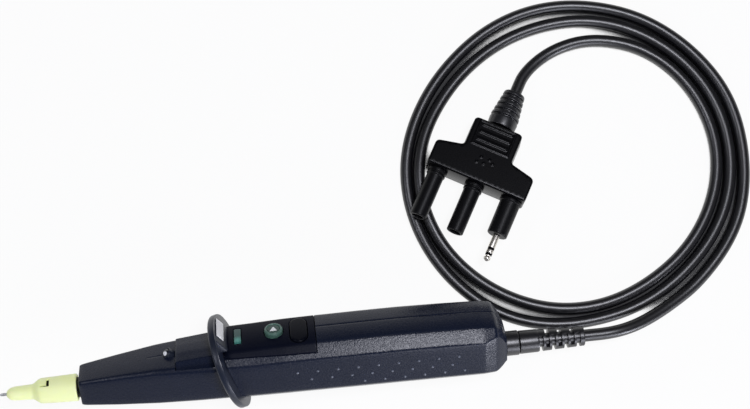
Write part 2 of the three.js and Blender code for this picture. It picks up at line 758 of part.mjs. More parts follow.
// Two shrouded prongs: a hollow sheath with two rings at its root round a solid pin.
[['black', -PRONG_PITCH], ['guard', 0]].forEach(([name, y]) => {
  const sheath = ring([
    [GAP, 2.9],
    [GAP, SHEATH_R + 0.7],
    [1.5, SHEATH_R + 0.7],
    [1.6, SHEATH_R],
    [2.2, SHEATH_R],
    [2.3, SHEATH_R + 0.45],
    [3.3, SHEATH_R + 0.45],
    [3.5, SHEATH_R],
    [SHEATH_L - 0.3, SHEATH_R - 0.05],
    [SHEATH_L, SHEATH_R - 0.3],
    [SHEATH_L, 2.9],
  ], 24);
  add(plug, `prong_sheath_${name}`, sheath.translate(0, y, 0), PVC_BLACK, 0.5);
  const pin = turned([[-2.7, 0], [-2.7, PIN_R], [SHEATH_L - 4, PIN_R], [SHEATH_L - 2.6, 1.2], [SHEATH_L - 2.4, 0]], 20);
  add(plug, `prong_pin_${name}`, pin.translate(0, y, 0), NICKEL, 0.3, 1);
});

// Third prong: a thicker solid sheath with a stereo jack. The jack is a sleeve, a ring and a tip
// with insulators between them.
const jackFrom = JACK_SHEATH_L + GAP;
add(
  plug,
  'jack_sheath',
  turned([
    [GAP, 0],
    [GAP, JACK_SHEATH_R + 0.5],
    [1.6, JACK_SHEATH_R + 0.5],
    [1.8, JACK_SHEATH_R],
    [JACK_SHEATH_L - 0.4, JACK_SHEATH_R - 0.1],
    [JACK_SHEATH_L, JACK_SHEATH_R - 0.5],
    [JACK_SHEATH_L, 0],
  ], 24).translate(0, PRONG_PITCH, 0),
  PVC_BLACK,
  0.5,
);
const jack = (name, from, to, radius, colour, metal) =>
  add(plug, name, turned([[from, 0], [from, radius], [to, radius], [to, 0]], 20).translate(0, PRONG_PITCH, 0),
    colour, 0.3, metal);
jack('jack_sleeve', jackFrom, jackFrom + 6.6, JACK_R, NICKEL, 1);
jack('jack_insulator_rear', jackFrom + 6.9, jackFrom + 7.5, JACK_R - 0.1, 0x151518, 0);
jack('jack_ring', jackFrom + 7.8, jackFrom + 9.4, JACK_R, NICKEL, 1);
jack('jack_insulator_front', jackFrom + 9.7, jackFrom + 10.3, JACK_R - 0.1, 0x151518, 0);
add(
  plug,
  'jack_tip',
  turned([
    [jackFrom + 10.6, 0],
    [jackFrom + 10.6, 1.3],
    [jackFrom + 11.1, 1.2],
    [jackFrom + 12.1, JACK_R],
    [jackFrom + 12.7, JACK_R - 0.1],
    [jackFrom + JACK_L, 0.5],
    [jackFrom + JACK_L, 0],
  ], 20).translate(0, PRONG_PITCH, 0),
  NICKEL,
  0.3,
  1,
);

// ---- how the pieces lie -------------------------------------------------------------------------

probe.rotation.set(rad(-ROLL), rad(NOSE_UP), 0, 'ZYX');
probe.updateMatrixWorld(true);
const rest = new THREE.Box3().setFromObject(probe, true);
probe.position.set(-(rest.min.x + rest.max.x) / 2, -(rest.min.y + rest.max.y) / 2, -rest.min.z);
probe.updateMatrixWorld(true);

plug.rotation.set(0, rad(-PLUG_TIP_UP), rad(PLUG_TURN), 'ZYX');
plug.position.set(...PLUG_AT, 0);
plug.updateMatrixWorld(true);
plug.position.z = -new THREE.Box3().setFromObject(plug, true).min.z;
plug.updateMatrixWorld(true);

// ---- lead ---------------------------------------------------------------------------------------

// A smooth curve near a list of control points: a uniform cubic B-spline that starts at its first
// point and ends at its last.
class Lead extends THREE.Curve {
  constructor(points) {
    super();
    const [first, last] = [points[0], points.at(-1)];
    this.points = [
      points[1].clone().lerp(first, 2),
      ...points,
      points.at(-2).clone().lerp(last, 2),
    ];
  }

  getPoint(t, target = new THREE.Vector3()) {
    const spans = this.points.length - 3;
    const i = Math.min(Math.floor(t * spans), spans - 1);
    const u = t * spans - i;
    const weights = [
      (1 - u) ** 3,
      3 * u ** 3 - 6 * u ** 2 + 4,
      -3 * u ** 3 + 3 * u ** 2 + 3 * u + 1,
      u ** 3,
    ];
    target.set(0, 0, 0);
    weights.forEach((w, k) => target.addScaledVector(this.points[i + k], w / 6));
    return target;
  }
}

// The way the lead lies between its two straight ends: down from the strain relief, round the coil
// from the outside in, up a little under the prong that rests on it, and to the plug's boot.
const ROUTE = [
  [155.5, -4.5, 11.1], [163.5, -3, 9.5], [172, 0, 7.2], [181.5, 4.5, 5.1], [191, 10, 3.6],
  [199, 15, 2.95], [214, 29, 2.95], [225.5, 46, 2.95], [231, 66, 2.95], [232, 87, 2.95],
  [228.5, 107.5, 2.95], [219, 125.5, 2.95], [205.5, 141, 2.95], [189, 153, 2.95], [170, 160, 2.95],
  [150.5, 163, 2.95], [130.5, 161, 2.95], [111.5, 153.5, 2.95], [96, 142.5, 2.95], [82, 128.5, 2.95],
  [71, 111.5, 2.95], [64, 92.5, 2.95], [63, 72, 2.95], [67.5, 52, 2.95], [77, 33.5, 2.95],
  [91, 18, 2.95], [108, 7, 2.95], [128, 2, 2.95], [147.5, 2.5, 2.95], [166, 6, 2.95],
  [183, 13.5, 2.95], [198, 24.5, 2.95], [211, 38, 2.95], [220.5, 54.5, 2.95], [225, 72.5, 2.95],
  [225, 91.5, 2.95], [220, 110, 2.95], [210, 126.5, 2.95], [196.5, 139.5, 2.95], [180.5, 149, 2.95],
  [162.5, 154, 2.95], [145, 154, 2.95], [127.5, 150.5, 2.95], [111.5, 143.5, 2.95], [97, 133, 2.95],
  [85, 120, 2.95], [75, 104.5, 3.5], [69.5, 86, 4.6], [70, 67.5, 4.6], [76, 49, 3.5], [87, 33.5, 2.95],
  [101, 21.5, 2.95], [117.5, 13, 2.95], [134.5, 9, 2.95], [152.5, 9.5, 2.95], [169, 14.5, 2.95],
  [184, 22.5, 2.95], [197, 32.5, 2.95], [208, 46, 2.95], [215.5, 61.5, 2.95], [219, 78.5, 2.95],
  [217.5, 95.5, 2.95], [211.5, 112, 2.95], [201.5, 126, 2.95], [188.5, 136.5, 2.95],
  [173.5, 142, 2.95], [159.5, 143.5, 2.95], [147.5, 141, 2.95], [139.5, 137.5, 3.1],
  [133.5, 133.5, 3.6], [129.5, 130, 4.2],
];
const straight = (from, step, y, matrix) =>
  [0, 1, 2, 3].map((i) => new THREE.Vector3(from + i * step, y, 0).applyMatrix4(matrix));
const exit = straight(BOOT[1] + GAP, 3, 0, probe.matrixWorld);
const entry = straight(PLUG_BACK - PLUG_BOOT_L - GAP, -3, PLUG_BOOT_Y, plug.matrixWorld).reverse();
const lead = new Lead([...exit, ...ROUTE.map((point) => new THREE.Vector3(...point)), ...entry]);
lead.arcLengthDivisions = 3000;
const leadLength = lead.getLength();
const leadSteps = Math.round(leadLength / LEAD_STEP);
const leadCircle = new THREE.Shape().absarc(0, 0, LEAD_R, 0, Math.PI * 2);
const leadTube = new THREE.ExtrudeGeometry(leadCircle, {
  steps: leadSteps,
  extrudePath: lead,
  curveSegments: LEAD_SIDES / 2,
});
add(part, 'lead_cable', leadTube, PVC_BLACK, 0.35);

// The least gap between two turns of the lead, measured between points every 2 mm.
const beads = lead.getSpacedPoints(Math.round(leadLength / 2));
let leastGap = Infinity;
beads.forEach((bead, i) => {
  for (let j = i + 40; j < beads.length; j++) {
    leastGap = Math.min(leastGap, bead.distanceTo(beads[j]) - 2 * LEAD_R);
  }
});
console.log(`lead: ${leadLength.toFixed(0)} mm long, least gap to itself ${leastGap.toFixed(2)} mm`);

part.add(probe, plug);
part.updateMatrixWorld(true);

export default part;
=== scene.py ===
"""Looks of a switched test probe with its lead and three-pole plug.

Shapes are worked out in millimetres, in the axes of the probe or of the plug, and placed in metres.
Probe axes: +X from the needle point to the lead, +Z out of the keypad, -Y the near side.
Plug axes: +X along the prongs, +Z out of the upper face, origin at the root of the middle prong.
"""

import math

import bmesh
import bpy
import numpy as np
from mathutils import Matrix, Vector
from mathutils.geometry import delaunay_2d_cdt


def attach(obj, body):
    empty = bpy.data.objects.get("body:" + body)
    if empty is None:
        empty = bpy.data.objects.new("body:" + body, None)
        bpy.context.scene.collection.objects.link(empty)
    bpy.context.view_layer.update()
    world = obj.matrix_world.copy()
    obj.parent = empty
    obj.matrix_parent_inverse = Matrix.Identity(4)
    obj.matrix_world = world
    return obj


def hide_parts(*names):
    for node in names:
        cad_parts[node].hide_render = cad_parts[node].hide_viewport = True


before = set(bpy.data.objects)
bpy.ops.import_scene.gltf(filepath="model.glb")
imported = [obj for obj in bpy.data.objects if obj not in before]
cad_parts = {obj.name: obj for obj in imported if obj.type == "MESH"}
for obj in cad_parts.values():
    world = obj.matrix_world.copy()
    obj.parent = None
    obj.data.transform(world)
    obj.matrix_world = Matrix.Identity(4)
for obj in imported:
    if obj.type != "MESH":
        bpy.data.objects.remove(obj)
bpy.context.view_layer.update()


# ---- axes ----


def turning(x=0.0, y=0.0, z=0.0):
    """Rotation matrix of a turn about X, then Y, then Z, in degrees."""
    parts = [Matrix.Rotation(math.radians(angle), 3, axis) for angle, axis in ((z, "Z"), (y, "Y"), (x, "X"))]
    return np.array(parts[0] @ parts[1] @ parts[2])


PROBE = (turning(-45, 2.15), np.array([-139.978, -4.832, 22.025]))
PLUG = (turning(0, -6, -119.2), np.array([96.2, 73.8, 11.243]))
ROW = (np.eye(3), np.zeros(3))


def placed(points, axes):
    """Points in millimetres in some axes as points in metres in the row frame: p R + t."""
    return (np.asarray(points, float) @ axes[0].T + axes[1]) / 1000


# ---- camera ----

CAMERA_AT = (0.0336, -0.0572, 0.7327)
CAMERA_RIGHT = (0.99461, -0.10366, 0)
CAMERA_UP = (0.10209, 0.97950, 0.17365)
CAMERA_BACK = (-0.01800, -0.17271, 0.98481)

camera_data = bpy.data.cameras.new("camera")
camera_data.sensor_width = 36
camera_data.lens = 72
camera_data.clip_start = 0.01
camera = bpy.data.objects.new("camera", camera_data)
bpy.context.scene.collection.objects.link(camera)
facing = Matrix((CAMERA_RIGHT, CAMERA_UP, CAMERA_BACK)).transposed().to_4x4()
camera.matrix_world = Matrix.Translation(CAMERA_AT) @ facing
bpy.context.scene.camera = camera


# ---- surfaces ----


def joined(points, wrap_rows, wrap_columns):
    """A grid of points (rows, columns, 3) as points and quads. A wrapped side meets its opposite."""
    rows, columns = points.shape[:2]
    index = np.arange(rows * columns).reshape(rows, columns)
    if wrap_rows:
        index = np.vstack([index, index[:1]])
    if wrap_columns:
        index = np.hstack([index, index[:, :1]])
    quads = np.stack([index[:-1, :-1], index[1:, :-1], index[1:, 1:], index[:-1, 1:]], -1)
    return points.reshape(-1, 3), quads.reshape(-1, 4)


def bend(before, at, after, reach, steps=5, most=0.42):
    """Points (rows, steps, 2) of quadratic curves that ease corners: (1-t)^2 p + 2t(1-t) c + t^2 q.

    p and q lie `reach` from the corner c, or the share `most` of its shorter side where that is less.
    """
    to_last, to_next = before - at, after - at
    last, following = np.linalg.norm(to_last, axis=1), np.linalg.norm(to_next, axis=1)
    d = np.minimum(reach, most * np.minimum(last, following))[:, None]
    p = at + to_last / last[:, None] * d
    q = at + to_next / following[:, None] * d
    t = np.linspace(0, 1, steps)[None, :, None]
    return (1 - t) ** 2 * p[:, None] + 2 * t * (1 - t) * at[:, None] + t**2 * q[:, None]


def eased(corners, reach, steps=5, closed=False):
    """A line or a closed loop of corners with its corners eased."""
    c = np.asarray(corners, float)
    bends = bend(np.roll(c, 1, 0), c, np.roll(c, -1, 0), reach, steps, 0.46)
    if closed:
        return bends.reshape(-1, 2)
    return np.vstack([c[:1], bends[1:-1].reshape(-1, 2), c[-1:]])


def full_turn(count):
    """Evenly spaced angles of a full turn."""
    return np.linspace(0, 2 * np.pi, count, endpoint=False)


def turned(profile, sides, radius=None, closed=False):
    """A body of revolution about X: (x, r cos a, r sin a). `radius(x, a, r)` may change r over it."""
    profile = np.asarray(profile, float)
    angle = full_turn(sides)[None, :]
    x = profile[:, :1] + 0 * angle
    r = profile[:, 1:] + 0 * angle
    if radius:
        r = np.where(r > 0, radius(x, angle, r), 0)
    return joined(np.stack([x, r * np.cos(angle), r * np.sin(angle)], -1), closed, True)


def edge_distance(points, loops):
    """Distance from each point to the nearest side of the closed loops."""
    least = np.full(len(points), 1e9)
    for loop in loops:
        a = loop[None, :]
        side = np.roll(loop, -1, 0)[None, :] - a
        away = points[:, None] - a
        share = np.clip((away * side).sum(-1) / np.maximum((side**2).sum(-1), 1e-12), 0, 1)
        least = np.minimum(least, np.linalg.norm(away - share[..., None] * side, axis=-1).min(1))
    return least


def enclosed(points, loops):
    """True where a ray along +X from the point crosses the loops an odd number of times."""
    crossings = np.zeros(len(points), int)
    for loop in loops:
        a, b = loop[None, :], np.roll(loop, -1, 0)[None, :]
        x, y = points[:, :1], points[:, 1:]
        spans = (a[..., 1] > y) != (b[..., 1] > y)
        rise = np.where(spans, b[..., 1] - a[..., 1], 1)
        crossings += (spans & (x < a[..., 0] + (y - a[..., 1]) / rise * (b[..., 0] - a[..., 0]))).sum(1)
    return crossings % 2 == 1


def quarter_round(distance, radius):
    """Drop of a rounded edge at a distance from it: r - sqrt(r^2 - (r - d)^2), nothing past r."""
    inward = np.clip(radius - distance, 0, radius)
    return radius - np.sqrt(np.maximum(radius**2 - inward**2, 0))


def lattice(low, high, spacing, stagger=0.0):
    """Points of a grid over a rectangle, every other row shifted by `stagger`."""
    u, v = np.meshgrid(np.arange(low[0], high[0], spacing), np.arange(low[1], high[1], spacing))
    u = u + stagger * (np.arange(len(u)) % 2)[:, None]
    return np.stack([u.ravel(), v.ravel()], 1)


# Where a slab's plan has loops, in from its edge, as shares of the rim's radius.
RIM_SHARES = (0, 0.12, 0.45, 1.0)


def slab(loops, top, bottom, rim, spacing, fine=None):
    """A plate whose plan is the first loop with the others as openings.

    Its two faces are height functions of the plan, each less the quarter round of its rim at every
    edge. The plan is triangulated over the loops, loops inside the rim and a grid of points.
    `fine` is (low corner, high corner, spacing) of a region with a closer grid.
    """
    loops = [np.asarray(loop, float) for loop in loops]
    support, sides, count = [], [], 0
    for loop in loops:
        tangent = np.roll(loop, -1, 0) - np.roll(loop, 1, 0)
        normal = np.stack([-tangent[:, 1], tangent[:, 0]], 1)
        normal /= np.linalg.norm(normal, axis=1)[:, None]
        inside = enclosed(loop + 0.02 * normal, loops)
        normal = np.where(inside[:, None], normal, -normal)
        for share in RIM_SHARES:
            ring = loop + share * max(rim) * normal
            support.append(ring)
            index = np.arange(len(ring)) + count
            if share in (0, 1.0):
                sides.append(np.stack([index, np.roll(index, -1)], 1))
            count += len(ring)
    inner = lattice(loops[0].min(0), loops[0].max(0), spacing, spacing / 2)
    if fine:
        low, high, closer = fine
        outside = (inner < low).any(1) | (inner > high).any(1)
        inner = np.vstack([inner[outside], lattice(low, high, closer)])
    keep = enclosed(inner, loops) & (edge_distance(inner, loops) > max(rim) * 1.25)
    plan = np.vstack([*support, inner[keep]])
    made = delaunay_2d_cdt(
        [Vector(point) for point in plan.tolist()], np.vstack(sides).tolist(), [], 0, 1e-5, True
    )
    flat = np.array([tuple(point) for point in made[0]])
    triangles = np.array([face for face in made[2] if len(face) == 3])
    triangles = triangles[enclosed(flat[triangles].mean(1), loops)]
    new_index = np.zeros(len(plan), int)
    for number, sources in enumerate(made[3]):
        new_index[sources] = number
    distance = edge_distance(flat, loops)
    upper = np.column_stack([flat, top(*flat.T) - quarter_round(distance, rim[0])])
    lower = np.column_stack([flat, bottom(*flat.T) + quarter_round(distance, rim[1])])
    walls = []
    start = 0
    for loop in loops:
        index = new_index[np.arange(len(loop)) + start]
        after = np.roll(index, -1)
        walls.append(np.stack([index, after, after + len(flat), index + len(flat)], 1))
        start += len(RIM_SHARES) * len(loop)
    faces = [*triangles.tolist(), *(triangles[:, ::-1] + len(flat)).tolist(), *np.vstack(walls).tolist()]
    return np.vstack([upper, lower]), faces


def at_height(height):
    """A height function that is the same all over a plan."""
    return lambda x, y: height + 0 * x


def moved(part, at, turn=np.eye(3), order=(0, 1, 2)):
    """A part with its axes reordered, then turned and moved."""
    points = np.asarray(part[0], float)[:, order] @ turn.T + np.asarray(at, float)
    return points, part[1]


def circle(x, y, radius, count):
    """Points of a circle in a plan."""
    angle = full_turn(count)
    return np.stack([x + radius * np.cos(angle), y + radius * np.sin(angle)], 1)


def box_loop(low, high, reach):
    """A rectangle with eased corners."""
    corners = [(low[0], low[1]), (high[0], low[1]), (high[0], high[1]), (low[0], high[1])]
    return dense(eased(corners, reach, 7, closed=True), 0.8)


def stadium(x, y, width, length):
    """An upright pill: two half circles `length - width` apart along Y."""
    half = (length - width) / 2
    angle = np.linspace(0, np.pi, 20)
    over = np.stack([x + width / 2 * np.cos(angle), y + half + width / 2 * np.sin(angle)], 1)
    under = np.stack([x - width / 2 * np.cos(angle), y - half - width / 2 * np.sin(angle)], 1)
    return dense(np.vstack([over, under]), 0.8)


def dense(loop, spacing):
    """The closed loop with its long sides cut to about the spacing."""
    side = np.roll(loop, -1, 0) - loop
    cuts = np.maximum(1, np.ceil(np.linalg.norm(side, axis=1) / spacing)).astype(int)
    at = np.repeat(np.arange(len(loop)), cuts)
    share = np.concatenate([np.arange(n) / n for n in cuts])[:, None]
    return loop[at] + share * side[at]


def build(name, parts, material, body="root", replaces=(), sharp=32, axes=PROBE):
    """One piece from (points, faces) parts in millimetres in `axes`, doubles merged, faces outwards."""
    points = np.vstack([placed(part[0], axes) for part in parts])
    faces, base = [], 0
    for part in parts:
        faces += [[corner + base for corner in face] for face in np.asarray(part[1], dtype=object).tolist()]
        base += len(part[0])
    mesh = bpy.data.meshes.new(name)
    mesh.from_pydata(points.tolist(), [], faces)
    work = bmesh.new()
    work.from_mesh(mesh)
    bmesh.ops.remove_doubles(work, verts=work.verts, dist=2e-6)
    bmesh.ops.dissolve_degenerate(work, edges=work.edges, dist=1e-7)
    bmesh.ops.recalc_face_normals(work, faces=work.faces)
    work.to_mesh(mesh)
    work.free()
    mesh.polygons.foreach_set("use_smooth", np.ones(len(mesh.polygons), bool))
    mesh.set_sharp_from_angle(angle=math.radians(sharp))
    mesh.materials.append(material)
    made = bpy.data.objects.new(name, mesh)
    bpy.context.scene.collection.objects.link(made)
    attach(made, body)
    if replaces:
        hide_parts(*replaces)
    return made


# ---- materials ----


def linear(colour):
    """An sRGB hex colour as linear RGBA."""
    shades = [int(colour[i : i + 2], 16) / 255 for i in (1, 3, 5)]
    return (*[s / 12.92 if s <= 0.04045 else ((s + 0.055) / 1.055) ** 2.4 for s in shades], 1)


def fill(tree, made, **links):
    """Fill a node's sockets: `_0` is a socket by number, other names have underscores for spaces."""
    for key, value in links.items():
        socket = made.inputs[int(key[1:])] if key[0] == "_" else made.inputs[key.replace("_", " ")]
        if isinstance(value, bpy.types.NodeSocket):
            tree.links.new(value, socket)
        else:
            socket.default_value = value
    return made


def node(tree, kind, settings=(), **links):
    """A shader node. Settings are its properties; links fill its sockets."""
    made = tree.nodes.new("ShaderNode" + kind)
    for key, value in dict(settings).items():
        setattr(made, key, value)
    return fill(tree, made, **links)


def started(name):
    """A new material's tree, with its Principled shader and Object coordinates."""
    material = bpy.data.materials.new(name)
    material.use_nodes = True
    tree = material.node_tree
    shader = tree.nodes["Principled BSDF"]
    place = node(tree, "TexCoord").outputs["Object"]
    return material, tree, shader, place


def noise(tree, place, scale, detail, **more):
    """Noise with `scale` features to the metre."""
    return node(tree, "TexNoise", Vector=place, Scale=scale, Detail=detail, **more).outputs["Fac"]


def shade(tree, factor, colour, other):
    """A colour between two sRGB shades."""
    mix = node(tree, "Mix", {"data_type": "RGBA"}, Factor=factor, _6=linear(colour), _7=linear(other))
    return mix.outputs[2]


def swung(tree, value, middle, below, above):
    """A roughness that swings round its middle with a noise."""
    swing = node(tree, "MapRange", Value=value, From_Min=0.3, From_Max=0.7,
                 To_Min=middle - below, To_Max=middle + above)
    return swing.outputs[0]


def relief(tree, height, strength, depth):
    """A normal bumped by a height of `depth` millimetres."""
    return node(tree, "Bump", Height=height, Strength=strength, Distance=depth / 1000).outputs["Normal"]


def moulded(name, colour, faded, roughness, specular, grain, depth, mottle, coat=0.0, sheen=0.0):
    """Injection-moulded plastic: two shades in soft patches, and a grain of the tool's texture.

    `grain` is the size of the texture in millimetres and `depth` its height, `mottle` the patches'
    size. A deeper grain makes the gloss less even.
    """
    material, tree, shader, place = started(name)
    swing = min(0.07, 0.015 + depth / 2)
    patches = noise(tree, place, 1000 / mottle, 3.0, Roughness=0.55)
    speck = noise(tree, place, 1000 / grain, 2.0, Roughness=0.6)
    fill(
        tree, shader, Base_Color=shade(tree, patches, colour, faded), IOR=1.5, Specular_IOR_Level=specular,
        Roughness=swung(tree, speck, roughness, swing, swing), Normal=relief(tree, speck, 0.6, depth),
        Coat_Weight=coat, Coat_Roughness=0.25,
        Sheen_Weight=sheen, Sheen_Roughness=0.45, Sheen_Tint=linear("#8a93b8"),
    )
    return material


def plated(name, colour, dull, roughness, line):
    """Bright metal, plated or bare, with fine marks of the lathe `line` millimetres apart."""
    material, tree, shader, place = started(name)
    patches = noise(tree, place, 260.0, 2.0)
    marks = noise(tree, place, 1000 / line, 2.0)
    fill(
        tree, shader, Base_Color=shade(tree, patches, colour, dull), Metallic=1.0,
        Roughness=swung(tree, marks, roughness, 0.06, 0.1),
    )
    return material


# Soft-touch lacquer over ABS: deep blue-black, satin, with the tool's grain showing through it.
soft_touch = moulded("soft_touch_lacquer", "#111828", "#191f31", 0.28, 0.28, 0.8, 0.15, 22, sheen=0.02)
# Keypad moulding: the same lacquer, a shade deeper and smoother.
keypad_lacquer = moulded("keypad_lacquer", "#0b0e1a", "#0f1322", 0.36, 0.06, 0.6, 0.06, 18)
# Grip nubs: the lacquer, glossy, and painted pale as a highlight for the glint each small nub catches.
nub_painted_glint = moulded("nub_painted_glint", "#565b68", "#666b79", 0.26, 0.7, 0.4, 0.004, 5)
# Hand guard: rigid ABS with a fine spark-eroded grain.
guard_abs = moulded("guard_abs", "#161c2a", "#1d2434", 0.34, 0.5, 0.7, 0.08, 16, sheen=0.03)
# Flexible PVC of the plug: black, waxy, almost smooth.
soft_pvc = moulded("flexible_pvc", "#030305", "#060609", 0.26, 0.2, 0.6, 0.002, 12)
# The same PVC on the collar and the strain reliefs: rougher, with a far stronger gloss, and a shade greyer,
# which is painted light for the brightness these cylinders catch.
pvc_painted_lighter = moulded("pvc_painted_lighter", "#0b0b10", "#101117", 0.36, 0.9, 0.6, 0.01, 12)
# Extruded PVC jacket: satin, smooth along its length.
jacket_pvc = moulded("extruded_pvc", "#08080c", "#0d0d12", 0.36, 0.85, 1.4, 0.008, 30)
# Hard ABS of the sheaths on the plug.
sheath_abs = moulded("sheath_abs", "#070709", "#0c0c0f", 0.38, 0.2, 0.5, 0.015, 10)
# Polycarbonate of the tip cap: milky yellow-green, even, slightly waxy.
cap_glow_plastic = moulded("cap_polycarbonate_painted_glow", "#eef8b2", "#f5fcc6", 0.42, 0.5, 0.7, 0.012, 9)
# Its emission is a painted glow that brightens the whole cap; nothing in the cap is a lamp. The subsurface
# scattering is real.
fill(
    cap_glow_plastic.node_tree, cap_glow_plastic.node_tree.nodes["Principled BSDF"],
    Emission_Color=linear("#e8f5a0"), Emission_Strength=0.17,
    Subsurface_Weight=0.35, Subsurface_Radius=(0.9, 1.0, 0.35), Subsurface_Scale=0.0015,
)
# Button: a tinted cap with a paler moulded ring.
button_green = moulded("button_polycarbonate", "#1a3b33", "#224840", 0.3, 0.5, 0.5, 0.01, 3, coat=0.2)
button_pale = moulded("button_ring_polycarbonate", "#45665b", "#54766a", 0.32, 0.5, 0.5, 0.01, 2.5, coat=0.2)
arrow_white = moulded("arrow_inlay", "#eef3ef", "#ffffff", 0.4, 0.5, 0.3, 0.006, 2)
key_rubber = moulded("key_silicone", "#070912", "#0b0e18", 0.3, 0.08, 0.35, 0.01, 9)
seal_rubber = moulded("seal_nitrile", "#030304", "#060607", 0.6, 0.12, 0.3, 0.01, 4)
neck_nylon = moulded("neck_nylon", "#060608", "#0b0b0e", 0.4, 0.2, 0.4, 0.012, 8)
label_film = moulded("label_polyester", "#fbfbf9", "#ffffff", 0.35, 0.5, 0.8, 0.004, 6)
board_laminate = moulded("board_laminate", "#1c5a32", "#246b3d", 0.4, 0.5, 0.8, 0.01, 5)
switch_nylon = moulded("switch_nylon", "#303038", "#3c3c45", 0.45, 0.5, 0.4, 0.01, 3)
core_red = moulded("core_red_pvc", "#9a261f", "#ad332a", 0.4, 0.5, 0.5, 0.01, 8)
core_black = moulded("core_black_pvc", "#1c1c22", "#26262c", 0.4, 0.5, 0.5, 0.01, 8)
diode_epoxy = moulded("diode_epoxy", "#e9e2c2", "#f3eed8", 0.25, 0.5, 0.5, 0.004, 2)
nickel = plated("nickel_plate", "#f4f0e8", "#e2ddd2", 0.36, 0.25)
needle_steel = plated("needle_steel", "#f2f3f4", "#dfe0e2", 0.3, 0.2)
screw_steel = plated("screw_steel", "#a8a8ac", "#8a8a90", 0.34, 0.3)


def spot(tree, place, at, scale):
    """One at a point of the probe in millimetres, falling evenly to nothing 1 / `scale` metres away."""
    middle = placed([at], PROBE)[0] * scale
    local = node(tree, "Mapping", {"vector_type": "POINT"}, Vector=place, Location=tuple(-middle),
                 Scale=(scale, scale, scale))
    return node(tree, "TexGradient", {"gradient_type": "SPHERICAL"}, Vector=local.outputs[0]).outputs["Fac"]


def window_material():
    """Tinted acrylic over a lamp: deep teal, paler where the lamp shines through its near third."""
    material, tree, shader, place = started("window_acrylic")
    glow = spot(tree, place, (115.5, -2.9, 20.6), 330)
    ripple = noise(tree, place, 900.0, 1.0)
    fill(tree, shader, Base_Color=shade(tree, glow, "#1d4a47", "#5fae9f"), Roughness=0.18,
         Normal=relief(tree, ripple, 0.25, 0.02))
    return material


def lens_material():
    """Moulded acrylic over a lamp: a dark, glossy dome with a white spot painted a little to the near side of
    its middle. The spot stands for the lamp's white die and is also a painted highlight.
    """
    material, tree, shader, place = started("lens_acrylic")
    near = spot(tree, place, (81.0, -1.2, 16.2), 560)
    # The white spot: the lamp's die, and a painted highlight on the dome.
    die_and_glint = node(tree, "MapRange", Value=near, From_Min=0.3, From_Max=0.5).outputs[0]
    ripple = noise(tree, place, 700.0, 1.0)
    fill(tree, shader, Base_Color=shade(tree, die_and_glint, "#1b1f27", "#f6f8fa"), Roughness=0.06, IOR=1.49,
         Normal=relief(tree, ripple, 0.2, 0.02))
    return material


window_acrylic = window_material()
lens_acrylic = lens_material()


# ---- lead ----

LEAD_R = 2.95
PLUG_LEAD_Y = 0.7
# The lead's way in the row frame, in millimetres. A point without a height lies on the ground.
ROUTE = [
    (155.5, -4.5, 11.1), (163.5, -3, 9.5), (172, 0, 7.2), (181.5, 4.5, 5.1), (191, 10, 3.6), (199, 15),
    (214, 29), (225.5, 46), (231, 66), (232, 87), (228.5, 107.5), (219, 125.5), (205.5, 141),
    (189, 153), (170, 160), (150.5, 163), (130.5, 161), (111.5, 153.5), (96, 142.5), (82, 128.5),
    (71, 111.5), (64, 92.5), (63, 72), (67.5, 52), (77, 33.5), (91, 18), (108, 7), (128, 2),
    (147.5, 2.5), (166, 6), (183, 13.5), (198, 24.5), (211, 38), (220.5, 54.5), (225, 72.5),
    (225, 91.5), (220, 110), (210, 126.5), (196.5, 139.5), (180.5, 149), (162.5, 154), (145, 154),
    (127.5, 150.5), (111.5, 143.5), (97, 133), (85, 120), (75, 104.5, 3.5), (69.5, 86, 4.6),
    (70, 67.5, 4.6), (76, 49, 3.5), (87, 33.5), (101, 21.5), (117.5, 13), (134.5, 9), (152.5, 9.5),
    (169, 14.5), (184, 22.5), (197, 32.5), (208, 46), (215.5, 61.5), (219, 78.5), (217.5, 95.5),
    (211.5, 112), (201.5, 126), (188.5, 136.5), (173.5, 142), (159.5, 143.5), (147.5, 141),
    (139.5, 137.5, 3.1), (133.5, 133.5, 3.6), (129.5, 130, 4.2),
]


def straight(start, step, y, axes):
    """Four points in line along X, in metres in the row frame."""
    return placed([(start + i * step, y, 0) for i in range(4)], axes)


def flowing(controls, per_span):
    """A uniform cubic B-spline through its end points: each point is a weighted mean of four controls."""
    c = np.vstack([2 * controls[0] - controls[1], controls, 2 * controls[-1] - controls[-2]])
    u = np.linspace(0, 1, per_span, endpoint=False)[None, :, None]
    weights = [(1 - u) ** 3, 3 * u**3 - 6 * u**2 + 4, -3 * u**3 + 3 * u**2 + 3 * u + 1, u**3]
    spans = len(c) - 3
    points = sum(w / 6 * c[k : k + spans, None] for k, w in enumerate(weights))
    return np.vstack([points.reshape(-1, 3), controls[-1:]])


def tube(path, radius, sides):
    """A round tube with closed ends: p + r (cos a n + sin a b), n level across the path and b = t x n."""
    along = np.gradient(path, axis=0)
    along /= np.linalg.norm(along, axis=1)[:, None]
    level = np.cross((0.0, 0.0, 1.0), along)
    level /= np.linalg.norm(level, axis=1)[:, None]
    upright = np.cross(along, level)
    angle = full_turn(sides)[None, :, None]
    around = np.cos(angle) * level[:, None] + np.sin(angle) * upright[:, None]
    rings = path[:, None] + radius * around
    first = np.repeat(path[:1, None], sides, 1)
    last = np.repeat(path[-1:, None], sides, 1)
    return joined(np.concatenate([first, rings, last]), False, True)


outlet = straight(280.3, 3, 0, PROBE)
inlet = straight(-52.0, -3, PLUG_LEAD_Y, PLUG)[::-1]
way = np.array([(*point, LEAD_R)[:3] for point in ROUTE]) / 1000
lead_path = flowing(np.vstack([outlet, way, inlet]), 8)
lead = build("lead_jacket", [tube(lead_path * 1000, LEAD_R, 24)], jacket_pvc,
             replaces=["lead_cable"], axes=ROW)


# ---- needle, cap and neck ----


